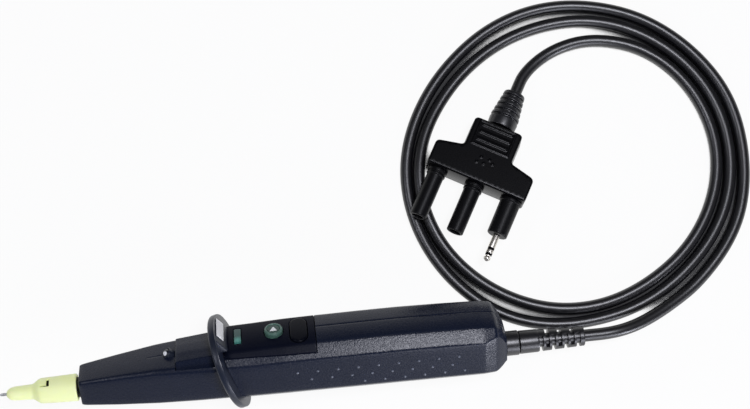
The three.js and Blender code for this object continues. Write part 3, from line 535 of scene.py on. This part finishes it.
def walled(stations, outer, inner, sides, openings, edges):
    """A tube about X with square openings right through its wall.

    Its two skins share stations and angles, with `edges` among the angles. Cells whose middle lies
    in an opening (x from, x to, angle from, angle to) are left out, and walls join the skins there.
    """
    x = np.asarray(stations, float)
    angle = np.unique(np.round(np.concatenate([np.linspace(0, 360, sides, endpoint=False), edges]), 4))
    a = np.radians(angle)[None, :]
    skins = [
        np.stack([x[:, None] + 0 * a, r[:, None] * np.cos(a), r[:, None] * np.sin(a)], -1)
        for r in (np.asarray(outer, float), np.asarray(inner, float))
    ]
    rows, columns = len(x), len(angle)
    mid_x = (x[:-1] + x[1:])[:, None] / 2
    mid_a = ((angle + np.append(angle[1:], 360)) / 2)[None, :]
    open_cell = np.zeros((rows - 1, columns), bool)
    for x0, x1, a0, a1 in openings:
        open_cell |= (mid_x > x0) & (mid_x < x1) & (mid_a > a0) & (mid_a < a1)
    index = np.arange(rows * columns).reshape(rows, columns)
    over = np.roll(index, -1, 1)
    cells = np.stack([index[:-1], index[1:], over[1:], over[:-1]], -1)
    solid = cells[~open_cell]
    shift = rows * columns
    faces = [solid, solid[:, ::-1] + shift]
    padded_cells = np.pad(~open_cell, ((1, 1), (0, 0)))
    across = padded_cells[1:] != padded_cells[:-1]
    r, c = np.nonzero(across)
    faces.append(np.stack([index[r, c], over[r, c], over[r, c] + shift, index[r, c] + shift], 1))
    beside = ~open_cell != np.roll(~open_cell, 1, 1)
    r, c = np.nonzero(beside)
    faces.append(np.stack([index[r, c], index[r + 1, c], index[r + 1, c] + shift, index[r, c] + shift], 1))
    return np.concatenate([skin.reshape(-1, 3) for skin in skins]), np.vstack(faces)


needle_profile = eased([(0, 0), (0.25, 0.16), (2.6, 0.8), (20.4, 0.8), (21.2, 1.5), (56, 1.5), (56, 0)], 0.3)
build("needle", [turned(needle_profile, 48)], needle_steel,
      replaces=["contact_needle"])

cap_outer = eased(
    [(5.0, 1.35), (5.4, 1.9), (6.1, 2.5), (7.0, 2.95), (8.3, 3.25), (17.0, 3.6), (17.9, 3.95), (19.1, 4.9),
     (20.1, 5.6), (21.1, 5.95), (22.6, 6.05), (37.7, 6.5), (38.1, 6.2)], 0.5)
cap_inner = np.array([(5.0, 1.15), (17.4, 1.15), (19.2, 2.6), (22.2, 5.2), (38.1, 5.2)])
# The L-shaped slit: an upright and a foot, each (x from, x to, angle from, angle to).
SLIT = np.array([(24.2, 25.6, 80, 122), (21.2, 24.25, 116, 122)])
cap_x = np.concatenate([cap_outer[:, 0], np.arange(5.5, 38.0, 0.6), SLIT[:, :2].ravel()])
cap_x = np.unique(np.round(cap_x, 4))
cap_outside, cap_inside = (np.interp(cap_x, *profile.T) for profile in (cap_outer, cap_inner))
cap = walled(cap_x, cap_outside, cap_inside, 96, SLIT, SLIT[:, 2:].ravel())
build("tip_cap_painted_glow", [cap], cap_glow_plastic, "tip_cap", ["tip_cap"])

neck_profile = eased(
    [(22.6, 1.8), (22.6, 4.3), (23.1, 4.8), (29, 4.8), (29.0, 3.9), (30.4, 3.9), (30.4, 4.8), (53, 4.8),
     (53, 1.8)], 0.18, closed=True)
build("neck_sleeve", [turned(neck_profile, 64, closed=True)], neck_nylon,
      replaces=["tip_neck"])
build("neck_ring", [turned(circle(29.7, 4.63, 0.38, 16), 64, closed=True)], seal_rubber,
      replaces=["neck_seal"])


# ---- handle shells ----

GAP = 0.3
WALL = 2.0
# Stations where the bores for the neck and for the outlet end, and the neck's bore.
BORE_ENDS = (53, 238)
BORE_R = 5.1
SEAM_LIP = 0.22
SEAM_EASE = 0.06
RAKE = math.tan(math.radians(17.3))
# Station, half width, top, bottom, top chamfer, bottom chamfer, crown of the top.
HANDLE = np.array([
    (39.7, 6.6, 7.8, 5.5, 0.9, 0.9, 0.1), (40.3, 7.2, 8.4, 6.1, 0.9, 1.0, 0.1),
    (57, 8.9, 10.9, 6.9, 1.1, 1.4, 0.3), (76, 10.9, 13.4, 7.3, 1.4, 2.0, 0.4),
    (95, 12.8, 14.7, 7.4, 1.8, 3.0, 0.5), (105, 13.8, 15.4, 7.7, 2.4, 4.0, 0.5),
    (111, 14.9, 20.0, 8.0, 5.2, 5.0, 0.9), (122, 15.3, 20.4, 8.2, 5.6, 5.5, 1.0),
    (137, 15.6, 21.0, 8.3, 5.7, 5.7, 1.1), (152, 15.7, 21.3, 8.4, 5.8, 5.8, 1.1),
    (172, 15.8, 21.4, 8.5, 5.8, 5.8, 1.1), (191, 15.8, 21.4, 8.6, 5.8, 5.8, 1.1),
    (212, 15.7, 20.8, 8.7, 5.6, 5.6, 1.3), (230, 15.5, 19.9, 8.8, 5.4, 5.4, 1.5),
    (236.2, 13.0, 19.0, 8.4, 3.1, 3.2, 1.4), (239, 10.8, 15.4, 7.2, 3.0, 3.0, 0.8),
    (241.4, 8.6, 9.2, 5.2, 2.5, 2.5, 0.1),
])
SOFTEN = 0.8
SADDLE_EDGE = 17.9
SADDLE_END = 151.8
PLATFORM_FRONT = 86.0
PLATFORM_FLOOR = 12.6
GUARD_X = 110.3
GUARD_Z = 6.7
GROOVE_HALF = 2.0
GROOVE_DEPTH = 1.3


def handle_at(x):
    """The handle's columns at stations x: linear between the rows, averaged over SOFTEN mm each way."""
    x = np.asarray(x, float)
    shifts = np.linspace(-SOFTEN, SOFTEN, 5)
    return np.mean([[np.interp(x + s, HANDLE[:, 0], column) for column in HANDLE.T[1:]] for s in shifts], 0)


def run(start, stop, count):
    """Points strictly between two points of every section."""
    t = (np.arange(count) + 1)[None, :, None] / (count + 1)
    return start[:, None] * (1 - t) + stop[:, None] * t


def half_sections(x, grow, share, crowned=True):
    """Half of the octagonal section at every station, from the top seam round to the bottom seam.

    The octagon's corners are eased, and its top flat is crowned: z = high + crown (1 - (y/w)^2).
    The halves part by the gap behind the nose and meet closely on it. `share` is where the keypad's
    edge crosses the top chamfer. The count of points before that edge is returned too.
    """
    half, top, bottom, cut, low_cut, crown = handle_at(x)
    side, high, low = half + grow, top + grow, -bottom - grow
    cut, low_cut = (np.maximum(size + 0.586 * grow, 0.3) for size in (cut, low_cut))
    meeting = np.interp(x, (72, 88), (0.0, 1.0))[:, None]
    seam = meeting[:, 0] * GAP / 2
    corner = [np.stack(pair, 1) for pair in (
        (seam, high), (side - cut, high), (side, high - cut),
        (side, low + low_cut), (side - low_cut, low), (seam, low),
    )]
    reach = np.interp(x, (57, 100, 215, 232), (0.5, 1.0, 1.0, 0.5))
    bends = [bend(corner[i - 1], corner[i], corner[i + 1], reach) for i in (1, 2, 3, 4)]
    edge = corner[1] * (1 - share[:, None]) + corner[2] * share[:, None]
    slip = (corner[2] - corner[1]) * 0.004
    lip = np.array([(0, -SEAM_LIP), (SEAM_EASE, -SEAM_EASE), (SEAM_LIP, 0)])
    seam_top = np.stack([corner[0] + meeting * move for move in lip], 1)
    seam_low = np.stack([corner[5] + meeting * move for move in lip[::-1] * (1, -1)], 1)
    ahead = [
        seam_top, run(corner[0], bends[0][:, 0], 7), bends[0], run(bends[0][:, -1], edge, 1),
        (edge - slip)[:, None],
    ]
    behind = [
        (edge + slip)[:, None], run(edge, bends[1][:, 0], 1), bends[1],
        run(bends[1][:, -1], bends[2][:, 0], 4), bends[2],
        run(bends[2][:, -1], bends[3][:, 0], 1), bends[3],
        run(bends[3][:, -1], corner[5], 3), seam_low,
    ]
    count = sum(part.shape[1] for part in ahead)
    points = np.concatenate(ahead + behind, 1)
    if crowned:
        y = points[..., 0] / (side - cut)[:, None]
        points[..., 1] += np.where(points[..., 1] > 0, crown[:, None] * np.clip(1 - y**2, 0, 1), 0)
    return points, count


def shell(side):
    """One half shell: outer skin, inner skin a wall further in, and strips that join them all round.

    The shell opens under the keypad: there the points before the keypad's edge fold down to a ledge.
    A groove takes the guard, and stations near the guard lean with it.
    """
    front = PLATFORM_FRONT - GAP
    rear = SADDLE_END + GAP
    groove = (GUARD_X - GROOVE_HALF, GUARD_X + GROOVE_HALF)
    steps = np.array([front, groove[0], GUARD_X, groove[1], rear])
    x = np.concatenate([
        np.arange(40.7, 104, 1.6), np.arange(104.4, 116, 0.8), np.arange(116.8, 228, 1.8),
        np.arange(228.4, 241.0, 0.5), [40.3, 40.5, 241.2, 241.4], steps - 0.01, steps + 0.01,
    ])
    x = np.unique(np.round(x, 4))
    opened = (x > front) & (x < rear)
    ledge = np.where(x < GUARD_X, PLATFORM_FLOOR - GAP, SADDLE_EDGE - GAP)
    sunk = np.where((x > groove[0]) & (x < groove[1]), -GROOVE_DEPTH, 0.0)
    _, top, _, cut, _, _ = handle_at(x)
    share = np.where(x < GUARD_X, np.minimum(1.35 / cut, 0.45), np.clip((top - ledge) / cut, 0.15, 0.85))
    outer, count = half_sections(x, sunk, share)
    thin = np.interp(x, (55, 66), (1.0, WALL))
    inner_x = np.clip(x, *BORE_ENDS)
    inner, _ = half_sections(inner_x, sunk - thin, share, crowned=False)
    edge = outer[:, count]
    q = np.linspace(0, 1, count)[None, :]
    for skin, drop in ((outer, 0.0), (inner, WALL)):
        folded_y = edge[:, :1] - WALL * (1 - q) - 0.2 * (drop > 0)
        skin[:, :count, 0] = np.where(opened[:, None], folded_y, skin[:, :count, 0])
        skin[:, :count, 1] = np.where(opened[:, None], ledge[:, None] - drop, skin[:, :count, 1])
    inner[..., 1] = np.where(opened[:, None], np.minimum(inner[..., 1], ledge[:, None] - WALL), inner[..., 1])
    lean = np.exp(-(((x - GUARD_X) / 7) ** 2))[:, None]

    def leant(skin, stations):
        """A skin with its stations, which lean with the guard."""
        along = stations[:, None] - (skin[..., 1] - GUARD_Z) * RAKE * lean
        return np.concatenate([along[..., None], skin], -1)

    outer = leant(outer, x)
    inner = leant(inner, inner_x)

    def bored(row, station, radius, shrink=0.0):
        """A row moved to a station: shrunk towards the axis, or onto a circle of the radius."""
        flat = row.copy()
        flat[:, 0] = station
        size = np.linalg.norm(flat[:, 1:], axis=1)[:, None]
        flat[:, 1:] *= radius / size if radius else 1 - shrink / size
        return flat

    nose = [bored(outer[0], BORE_ENDS[0], BORE_R), bored(outer[0], 40.0, BORE_R), bored(outer[0], 39.7, 5.3),
            bored(outer[0], 39.7, 0, 0.6), bored(outer[0], 39.9, 0, 0.15)]
    tail = [bored(outer[-1], 241.4, 0, 0.4), bored(outer[-1], 241.4, 5.3),
            bored(outer[-1], 241.1, 5.0), bored(outer[-1], BORE_ENDS[1], 5.0)]
    skin = np.concatenate([np.stack(nose), outer, np.stack(tail)])
    lining = np.concatenate([np.repeat(inner[:1], len(nose), 0), inner, np.repeat(inner[-1:], len(tail), 0)])
    whole = np.concatenate([skin, lining[:, ::-1]], 1)
    whole[..., 1] *= side
    points, faces = joined(whole, False, True)
    columns = whole.shape[1]
    ends = []
    for row in (0, len(whole) - 1):
        index = np.arange(columns // 2) + row * columns
        mirror = row * columns + columns - 1 - np.arange(columns // 2)
        ends.append(np.stack([index[:-1], index[1:], mirror[1:], mirror[:-1]], 1))
    return points, np.vstack([faces, *ends])


# Rows of grip nubs: height, first station and count.
NUB_ROWS = [(8.5, 141.9, 9), (4.0, 148.2, 8), (-0.2, 172.9, 6)]
NUB_PITCH = 9.45
NUB_R = 0.66
NUB_SUNK = 0.08


def nubs(side):
    """Grip nubs: small squashed balls half sunk in the side, in rows, as one grid each."""
    u = np.linspace(0, np.pi, 7)[:, None]
    v = full_turn(12)[None, :]
    ball = np.stack([np.sin(u) * np.cos(v), 0.8 * np.cos(u) + 0 * v, np.sin(u) * np.sin(v)], -1)
    parts = []
    for z, first, count in NUB_ROWS:
        x = first + NUB_PITCH * np.arange(count)
        half = handle_at(x)[0]
        for centre in np.stack([x, side * (half - NUB_SUNK), z + 0 * x], 1):
            parts.append(joined(centre + NUB_R * ball, False, True))
    return parts


SIDES = {"near": -1, "far": 1}
for name, side in SIDES.items():
    build(f"handle_{name}", [shell(side)], soft_touch, replaces=[f"shell_{name}"], sharp=28)
for name, side in SIDES.items():
    build(f"grip_nubs_{name}", nubs(side), nub_painted_glint)


# ---- keypad ----


def keypad_top(x, y):
    """The keypad's upper face: a crowned flat and 45 degree flanks, met by a soft minimum."""
    half, top, _, cut, _, crown = handle_at(x)
    width = half - cut
    flat = top + crown * (1 - (y / width) ** 2)
    flank = top - (np.abs(y) - width)
    h = np.clip(0.5 + 0.5 * (flank - flat) / 0.8, 0, 1)
    return flank * (1 - h) + flat * h - 0.8 * h * (1 - h) / 2


def keypad_edge(x):
    """Half width of the keypad, where its flank comes down to the edge height."""
    half, top, _, cut, _, _ = handle_at(x)
    return half - cut + top - SADDLE_EDGE


BUTTON_X, BUTTON_R = 132.5, 4.35
# Centre, width and length of the lamp key and of the indicator window, and the keypad's underside.
KEY = (144.1, -0.6, 8.0, 16.8)
WINDOW = (115.5, 0.4, 3.3, 10.5)
UNDER = 18.4


def window_loop(grow):
    """The indicator window's outline grown all round."""
    middle = np.array(WINDOW[:2])
    reach = np.array(WINDOW[2:]) / 2 + grow
    return box_loop(middle - reach, middle + reach, 0.8 + grow)


saddle_x = np.linspace(108.6, SADDLE_END, 14)
saddle_plan = np.vstack([
    np.stack([saddle_x, -keypad_edge(saddle_x)], 1), np.stack([saddle_x, keypad_edge(saddle_x)], 1)[::-1]
])
saddle_outline = dense(eased(saddle_plan, 0.7, 5, closed=True), 0.9)
saddle_openings = [
    window_loop(GAP), circle(BUTTON_X, 0, BUTTON_R + GAP, 72),
    stadium(KEY[0], KEY[1], KEY[2] + 2 * GAP, KEY[3] + 2 * GAP),
]
saddle = slab(
    [saddle_outline, *saddle_openings],
    keypad_top,
    lambda x, y: np.interp(np.abs(y), (10.2, 10.8), (UNDER, SADDLE_EDGE - 0.25)),
    (0.3, 0.02),
    0.9,
)


def platform():
    """The raised platform ahead of the guard: steep sides, a faceted crown and an eased front edge."""
    x = np.array([86.0, 86.0, 86.1, 86.35, 86.8, 90, 95, 100, 104, 107.5, 107.5])
    half = np.interp(x, (86, 103, 112), (10.2, 10.7, 10.9))
    top = np.interp(x, (86, 103, 112), (16.4, 18.3, 19.3))
    top -= np.interp(x, (86, 86.1, 86.35, 86.8), (0.45, 0.2, 0.05, 0))
    side = np.array([(1, 0), (0.99, 0.05), (0.86, 0.88), (0.845, 0.95), (0.815, 0.99), (0.79, 1.0)])
    across = np.linspace(0.74, -0.74, 15)
    loop = np.vstack([side, np.stack([across, np.ones(15)], 1), side[::-1] * (-1, 1)])
    y = half[:, None] * loop[None, :, 0]
    z = PLATFORM_FLOOR + (top - PLATFORM_FLOOR)[:, None] * loop[None, :, 1]
    crown = np.interp(np.abs(loop[:, 0]), (0, 0.3, 0.34, 0.79), (0.6, 0.55, 0.45, 0))
    z = z + np.where(loop[:, 1] > 0.99, crown, 0)[None, :]
    body = np.stack([x[:, None] + 0 * y, y, z], -1)
    middle = body.mean(1, keepdims=True)
    body[[0, -1]] = middle[[0, -1]]
    return joined(body, False, True)


build("keypad", [saddle], keypad_lacquer, replaces=["keypad_deck"])
build("keypad_front", [platform()], soft_touch)


# ---- guard and label ----


GUARD_R, GUARD_T = 22.9, 3.4
WEDGE_HALF = 8.5
waist, _ = half_sections(np.array([109.0]), np.array([-0.9]), np.array([0.5]))
waist = waist[0][3:-3]
waist = np.vstack([waist, (waist * (-1, 1))[::-1]]) - (0, GUARD_Z)
disc = slab([circle(0, 0, GUARD_R, 144), dense(waist, 1.5)], at_height(GUARD_T / 2),
            at_height(-GUARD_T / 2), (0.4, 1.1), 2.2)
disc = moved(disc, (GUARD_X, 0, GUARD_Z), turning(0, -17.3), (2, 0, 1))
LEAN = math.radians(36)
foot = 110.6 + 1.3 * math.tan(LEAN)
wedge_plan = [(foot, 19), (foot - 8 * math.tan(LEAN), 27), (103.2, 27), (105.2, 19)]
wedge = slab([dense(eased(wedge_plan, 0.7, 6, closed=True), 0.8)], at_height(WEDGE_HALF),
             at_height(-WEDGE_HALF), (0.6, 0.6), 1.0)
build("finger_guard", [disc, moved(wedge, (0, 0, 0), order=(0, 2, 1))], guard_abs,
      replaces=["hand_guard"])
plate = slab([box_loop((-6.2, 3.04), (6.2, 7.84), 0.3)], at_height(0.6), at_height(0.3), (0.06, 0.02), 1.0)
build("blank_label", [moved(plate, (110.6, 1.5, 20.3), turning(0, -36), (2, 0, 1))], label_film,
      replaces=["rating_label"])


# ---- controls and lamps ----

BUTTON_STANDS = 1.9
crest = float(handle_at(BUTTON_X)[1] + handle_at(BUTTON_X)[5]) + BUTTON_STANDS
core_profile = eased(
    [(crest - 1.5, 0), (crest - 1.5, 2.95), (crest - 0.42, 2.95), (crest - 0.3, 2.8), (crest - 0.16, 0)], 0.1)
ring_profile = eased(
    [(UNDER - 1.3, 2.0), (UNDER - 1.3, 5.1), (UNDER - 0.3, 5.1), (UNDER - 0.3, BUTTON_R),
     (crest - 0.8, BUTTON_R), (crest - 0.1, BUTTON_R - 0.45), (crest, BUTTON_R - 0.8), (crest - 0.05, 3.25),
     (crest - 0.35, 3.05), (crest - 1.6, 3.0), (crest - 1.6, 2.0)], 0.22, closed=True)
upright = {"at": (BUTTON_X, 0, 0), "order": (1, 2, 0)}
build("button_cap", [moved(turned(core_profile, 64), **upright)], button_green,
      "start_button", ["start_button"])
build("button_ring", [moved(turned(ring_profile, 72, closed=True), **upright)], button_pale,
      "start_button")
arrow_plan = eased([(-1.75, -1.7), (1.75, -1.7), (0, 1.35)], 0.22, 5, closed=True) + (BUTTON_X, 0.1)
arrow = slab([dense(arrow_plan, 0.4)], at_height(crest - 0.1), at_height(crest - 0.8), (0.06, 0.02), 0.5)
build("white_arrow", [arrow], arrow_white, "start_button", ["button_arrow"])

key = slab([stadium(*KEY)], lambda x, y: keypad_top(x, y * 0.8) + 0.4,
           at_height(UNDER - 0.9), (0.55, 0.1), 0.8)
build("lamp_pill", [key], key_rubber, "lamp_key", ["lamp_key"])

pane = slab([window_loop(0)], lambda x, y: keypad_top(x, y) + 0.1, at_height(UNDER - 0.8),
            (0.25, 0.05), 0.7)
build("indicator_pane", [pane], window_acrylic, replaces=["indicator_window"])

TORCH = (82.2, 0, 14.6)
torch_turn = turning(0, 42)
dome = eased([(-2.3, 0), (-2.25, 0.6), (-1.8, 1.5), (-0.9, 2.2), (0.2, 2.4), (3, 2.4), (3, 0)], 0.6)
build("torch_dome", [moved(turned(dome, 48), TORCH, torch_turn)], lens_acrylic,
      replaces=["torch_lens"])
bezel = eased([(-0.9, 2.5), (-1.1, 2.7), (-0.9, 2.9), (3.2, 3.0), (3.2, 2.5)], 0.15, closed=True)
build("torch_bezel", [moved(turned(bezel, 56, closed=True), TORCH, torch_turn)], guard_abs)


# ---- lead outlet ----

collar_profile = eased(
    [(236.5, 3.3), (236.5, 4.7), (241.69, 4.7), (241.7, 5.75), (242.0, 5.95), (247.9, 5.95),
     (248.2, 5.65), (248.2, 3.3)], 0.25, closed=True)
build("outlet_collar", [turned(collar_profile, 72, closed=True)], pvc_painted_lighter,
      replaces=["rear_collar"])

SLOT_X = 257.9
SLOT_PITCH = 3.0
SLOT_W = 1.9
SLOT_COUNT = 7
SLOT_CORE_R = 3.2
BOOT_END = 280


def boot_radius(x, angle, radius):
    """The strain relief's radius: its cone, cut to the core in slots from alternate sides."""
    slot = np.floor((x - SLOT_X) / SLOT_PITCH)
    inside = (slot >= 0) & (slot < SLOT_COUNT) & ((x - SLOT_X) - SLOT_PITCH * slot < SLOT_W)
    bridge = np.where(slot % 2 == 0, np.radians(60), np.radians(240))
    away = np.abs((angle - bridge + np.pi) % (2 * np.pi) - np.pi)
    return np.where(inside & (away > np.arccos(2.9 / np.maximum(radius, 3))), SLOT_CORE_R, radius)


slot_starts = SLOT_X + SLOT_PITCH * np.arange(SLOT_COUNT)
slot_edges = np.concatenate([slot_starts, slot_starts + SLOT_W])
boot_x = np.concatenate([np.arange(258.2, 279.6, 0.35), slot_edges - 0.03, slot_edges + 0.03])
boot_x = np.unique(np.round(boot_x[np.abs(boot_x[:, None] - slot_edges).min(1) > 0.02], 4))
root = eased([(248.5, 0), (248.5, 5.4), (248.75, 5.6), (257.2, 5.5), (257.7, 5.35)], 0.2)
cone = np.stack([boot_x, np.interp(boot_x, (257.7, BOOT_END), (5.35, 4.7))], 1)
boot_tip = eased([(BOOT_END - 0.3, 4.7), (BOOT_END, 4.4), (BOOT_END, 0)], 0.2)
build("strain_relief", [turned(np.vstack([root, cone, boot_tip]), 96, boot_radius)], pvc_painted_lighter,
      replaces=["rear_boot"], sharp=40)


# ---- plug ----

PITCH = 19.4
PLUG_H = 15.0
DRAFT = 0.8
GRIP_RIBS = (-28.5, -24.6, -20.7)
PIPS = [(-12.4, -2.2), (-12.4, 2.2), (-10.9, 4.2), (-9.6, 0), (-9.4, -3.4)]


def step(value, width):
    """A smooth step from 0 to 1 over a width: 3s^2 - 2s^3."""
    s = np.clip(value / width + 0.5, 0, 1)
    return s * s * (3 - 2 * s)


def plug_top(x, y):
    """The plug's upper face: flat, with a framed grip of three ribs and a few pips raised on it."""
    z = PLUG_H / 2 + 0 * x
    for rib in GRIP_RIBS:
        z = z + 0.3 * step(0.75 - np.abs(x - rib), 0.8) * step(8.6 - np.abs(y), 0.8)
    frame_edge = np.maximum(np.abs(x + 24.0) - 6.4, np.abs(y) - 9.9)
    z = z + 0.22 * step(0.5 - np.abs(frame_edge), 0.7)
    for px, py in PIPS:
        z = z + 0.3 * step(0.55 - np.hypot(x - px, y - py), 0.7)
    return z


def add(name, part, y, material, cad, sharp=32):
    """One piece of the plug on the axis at `y`, in place of one solid."""
    part = moved(part, (0, y, 0))
    build(name, [part], material, replaces=[cad], sharp=sharp, axes=PLUG)


# The T in plan, from the front of its bar round its block. The bar narrows towards its ends.
tee = [(0, -25.7), (0, 25.7), (-12.3, 25.7), (-15.2, 13.2), (-31.8, 13.2), (-31.8, -13.2),
       (-15.2, -13.2), (-12.3, -25.7)]
tee_reach = np.array([1.4, 1.4, 2.4, 1.2, 2.4, 2.4, 1.2, 2.0])
tee_plan = dense(eased(tee, tee_reach, 7, closed=True), 1.0)
grip_region = ((-31, -11), (-8.6, 11), 0.26)
points, faces = slab([tee_plan], plug_top, at_height(-PLUG_H / 2), (0.9, 0.9), 1.4, grip_region)
# The block is drafted: its sides and its back lean in towards the upper face.
share = (points[:, 2] + PLUG_H / 2) / PLUG_H
block = share * np.clip((-points[:, 0] - 14.5) / 2, 0, 1)
points[:, 1] -= DRAFT * block * np.clip(points[:, 1] / 10, -1, 1)
points[:, 0] += DRAFT * share * np.clip((-points[:, 0] - 28.5) / 3, 0, 1)
add("plug_moulding", (points, faces), 0, soft_pvc, "plug_body", 40)

ribs = [(-32.1, 0), (-32.1, 7.0), (-36.7, 7.3)]
for number in range(5):
    x, r = -37.0 - 2.9 * number, 7.3 - 0.42 * number
    ribs += [(x, r - 1.3), (x - 1.0, r - 1.4), (x - 1.1, r), (x - 2.6, r - 0.2)]
ribs += [(-51.7, 5.2), (-51.7, 0)]
ribbed = turned(eased(ribs, 0.28), 72)
add("plug_strain_relief", ribbed, PLUG_LEAD_Y, pvc_painted_lighter, "plug_boot", 50)

sheath = eased(
    [(0.1, 2.9), (0.1, 4.95), (1.5, 4.95), (1.6, 4.25), (2.2, 4.25), (2.3, 4.7), (3.3, 4.7),
     (3.5, 4.25), (25.5, 4.2), (25.8, 3.95), (25.8, 3.05), (25.5, 2.9)], 0.22, closed=True)
pin = eased([(-2.7, 0), (-2.7, 2), (21.8, 2), (23.2, 1.2), (23.4, 0)], 0.3)
for name, y in (("black", -PITCH), ("guard", 0)):
    tubular = turned(sheath, 64, closed=True)
    add(f"sheath_{name}", tubular, y, sheath_abs, f"prong_sheath_{name}")
    add(f"pin_{name}", turned(pin, 40), y, nickel, f"prong_pin_{name}")

stub = eased([(0.1, 0), (0.1, 5.6), (1.6, 5.6), (1.8, 5.1), (18.7, 5.0), (19.1, 4.6), (19.1, 0)], 0.3)
add("jack_shroud", turned(stub, 64), PITCH, sheath_abs, "jack_sheath")

# The jack, from JACK_X on: its contacts' profiles and its bands' stations, each with its solid.
JACK_X = 19.4
JACK_R = 1.75
point = [(10.6, 0), (10.6, 1.35), (11.1, 1.2), (12.0, JACK_R), (12.7, 1.6), (13.6, 0.5), (13.6, 0)]
contacts = {
    "jack_barrel": ([(0, 0), (0, JACK_R), (6.6, JACK_R), (6.6, 0)], "jack_sleeve"),
    "jack_band": ([(7.8, 0), (7.8, JACK_R), (9.4, JACK_R), (9.4, 0)], "jack_ring"),
    "jack_point": (point, "jack_tip"),
}
bands = {
    "jack_band_rear": (6.9, "jack_insulator_rear"),
    "jack_band_front": (9.7, "jack_insulator_front"),
}
for name, (profile, cad) in contacts.items():
    add(name, turned(eased(profile, 0.14) + (JACK_X, 0), 48), PITCH, nickel, cad)
for name, (x, cad) in bands.items():
    band = eased([(x - 0.28, 0), (x - 0.28, 1.62), (x + 0.88, 1.62), (x + 0.88, 0)], 0.05)
    add(name, turned(band + (JACK_X, 0), 48), PITCH, seal_rubber, cad)


# ---- carried-over pieces ----

# Solids that keep their own meshes and take a material here.
carried = {
    "circuit_board": board_laminate, "start_switch": switch_nylon, "lamp_switch": switch_nylon,
    "window_diode": diode_epoxy, "torch_diode": diode_epoxy, "lead_clamp": neck_nylon,
    "core_near": core_red, "core_far": core_black,
    **{f"shell_screw_{number}": screw_steel for number in range(1, 5)},
}
for name, material in carried.items():
    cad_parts[name].data.materials.clear()
    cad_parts[name].data.materials.append(material)


# ---- floor and light ----


def white_to(tree):
    """One for the rays that see the background: from the camera, off gloss and through glass."""
    ray = node(tree, "LightPath")
    some = node(tree, "Math", {"operation": "MAXIMUM"}, _0=ray.outputs["Is Camera Ray"],
                _1=ray.outputs["Is Transmission Ray"])
    return node(tree, "Math", {"operation": "MAXIMUM"}, _0=some.outputs[0],
                _1=ray.outputs["Is Glossy Ray"]).outputs[0]


floor_mesh = bpy.data.meshes.new("floor")
floor_mesh.from_pydata([(-3, -3, 0), (3, -3, 0), (3, 3, 0), (-3, 3, 0)], [], [(0, 1, 2, 3)])
floor = bpy.data.objects.new("floor", floor_mesh)
bpy.context.scene.collection.objects.link(floor)
paper, paper_tree, paper_shader, paper_place = started("matt_paper")
fibres = noise(paper_tree, paper_place, 900.0, 3.0)
fill(paper_tree, paper_shader, Base_Color=linear("#fafafa"), Roughness=0.9, Specular_IOR_Level=0.1,
     Normal=relief(paper_tree, fibres, 0.1, 0.05))
# The sheet is white to the eye and in reflections, with a faint real shadow from its diffuse share. Its glow
# dims where ambient occlusion is deep: a painted shadow between close strands and in narrow gaps.
nearby = node(paper_tree, "AmbientOcclusion", {"samples": 24}, Distance=0.006)
shaded = node(paper_tree, "MapRange", {"interpolation_type": "SMOOTHSTEP"}, Value=nearby.outputs["AO"],
              From_Min=0.36, From_Max=0.46)
glow = node(paper_tree, "Emission", Strength=shaded.outputs[0])
plain = node(paper_tree, "Math", {"operation": "MULTIPLY"}, _0=white_to(paper_tree), _1=0.92)
white = node(paper_tree, "MixShader", _0=plain.outputs[0], _1=paper_shader.outputs[0], _2=glow.outputs[0])
paper_tree.links.new(white.outputs[0], paper_tree.nodes["Material Output"].inputs["Surface"])
floor_mesh.materials.append(paper)


def softbox(name, at, aim, size, radiance, colour):
    """A square soft light of a side in metres whose face has the given radiance."""
    data = bpy.data.lights.new(name, "AREA")
    data.shape = "SQUARE"
    data.size = size
    data.energy = radiance * math.pi * size * size
    data.color = linear(colour)[:3]
    light = bpy.data.objects.new(name, data)
    facing = (Vector(at) - Vector(aim)).to_track_quat("Z", "Y")
    light.matrix_world = Matrix.Translation(at) @ facing.to_matrix().to_4x4()
    bpy.context.scene.collection.objects.link(light)


softbox("key_light", (0.28, 0.03, 1.25), (0.05, 0.02, 0.0), 0.34, 25.0, "#f4f5ff")
softbox("near_fill", (0.35, -1.0, 0.45), (0.08, 0.0, 0.0), 0.5, 5.2, "#f0f2ff")
softbox("right_fill", (0.75, -0.85, 0.12), (0.15, 0.0, 0.0), 0.22, 30.0, "#f0f2ff")
softbox("left_fill", (-0.66, 0.07, 0.87), (-0.08, 0.0, 0.0), 0.3, 6.0, "#f0f2ff")

world = bpy.data.worlds.new("studio")
bpy.context.scene.world = world
world.use_nodes = True
tree = world.node_tree
tree.nodes.clear()
direction = node(tree, "SeparateXYZ", Vector=node(tree, "TexCoord").outputs["Generated"])
# A white backdrop stands round the table; the ceiling above it is dim.
backdrop = node(tree, "MapRange", {"interpolation_type": "SMOOTHSTEP"}, Value=direction.outputs["Z"],
                From_Min=0.0, From_Max=0.14, To_Min=1.0, To_Max=0.08)
level = node(tree, "Mix", {"data_type": "FLOAT"}, Factor=white_to(tree), A=0.07)
tree.links.new(backdrop.outputs[0], level.inputs["B"])
sky = node(tree, "Background", Color=(1, 1, 1, 1), Strength=level.outputs[0])
node(tree, "OutputWorld", Surface=sky.outputs[0])
bpy.context.scene.view_settings.view_transform = "Standard"
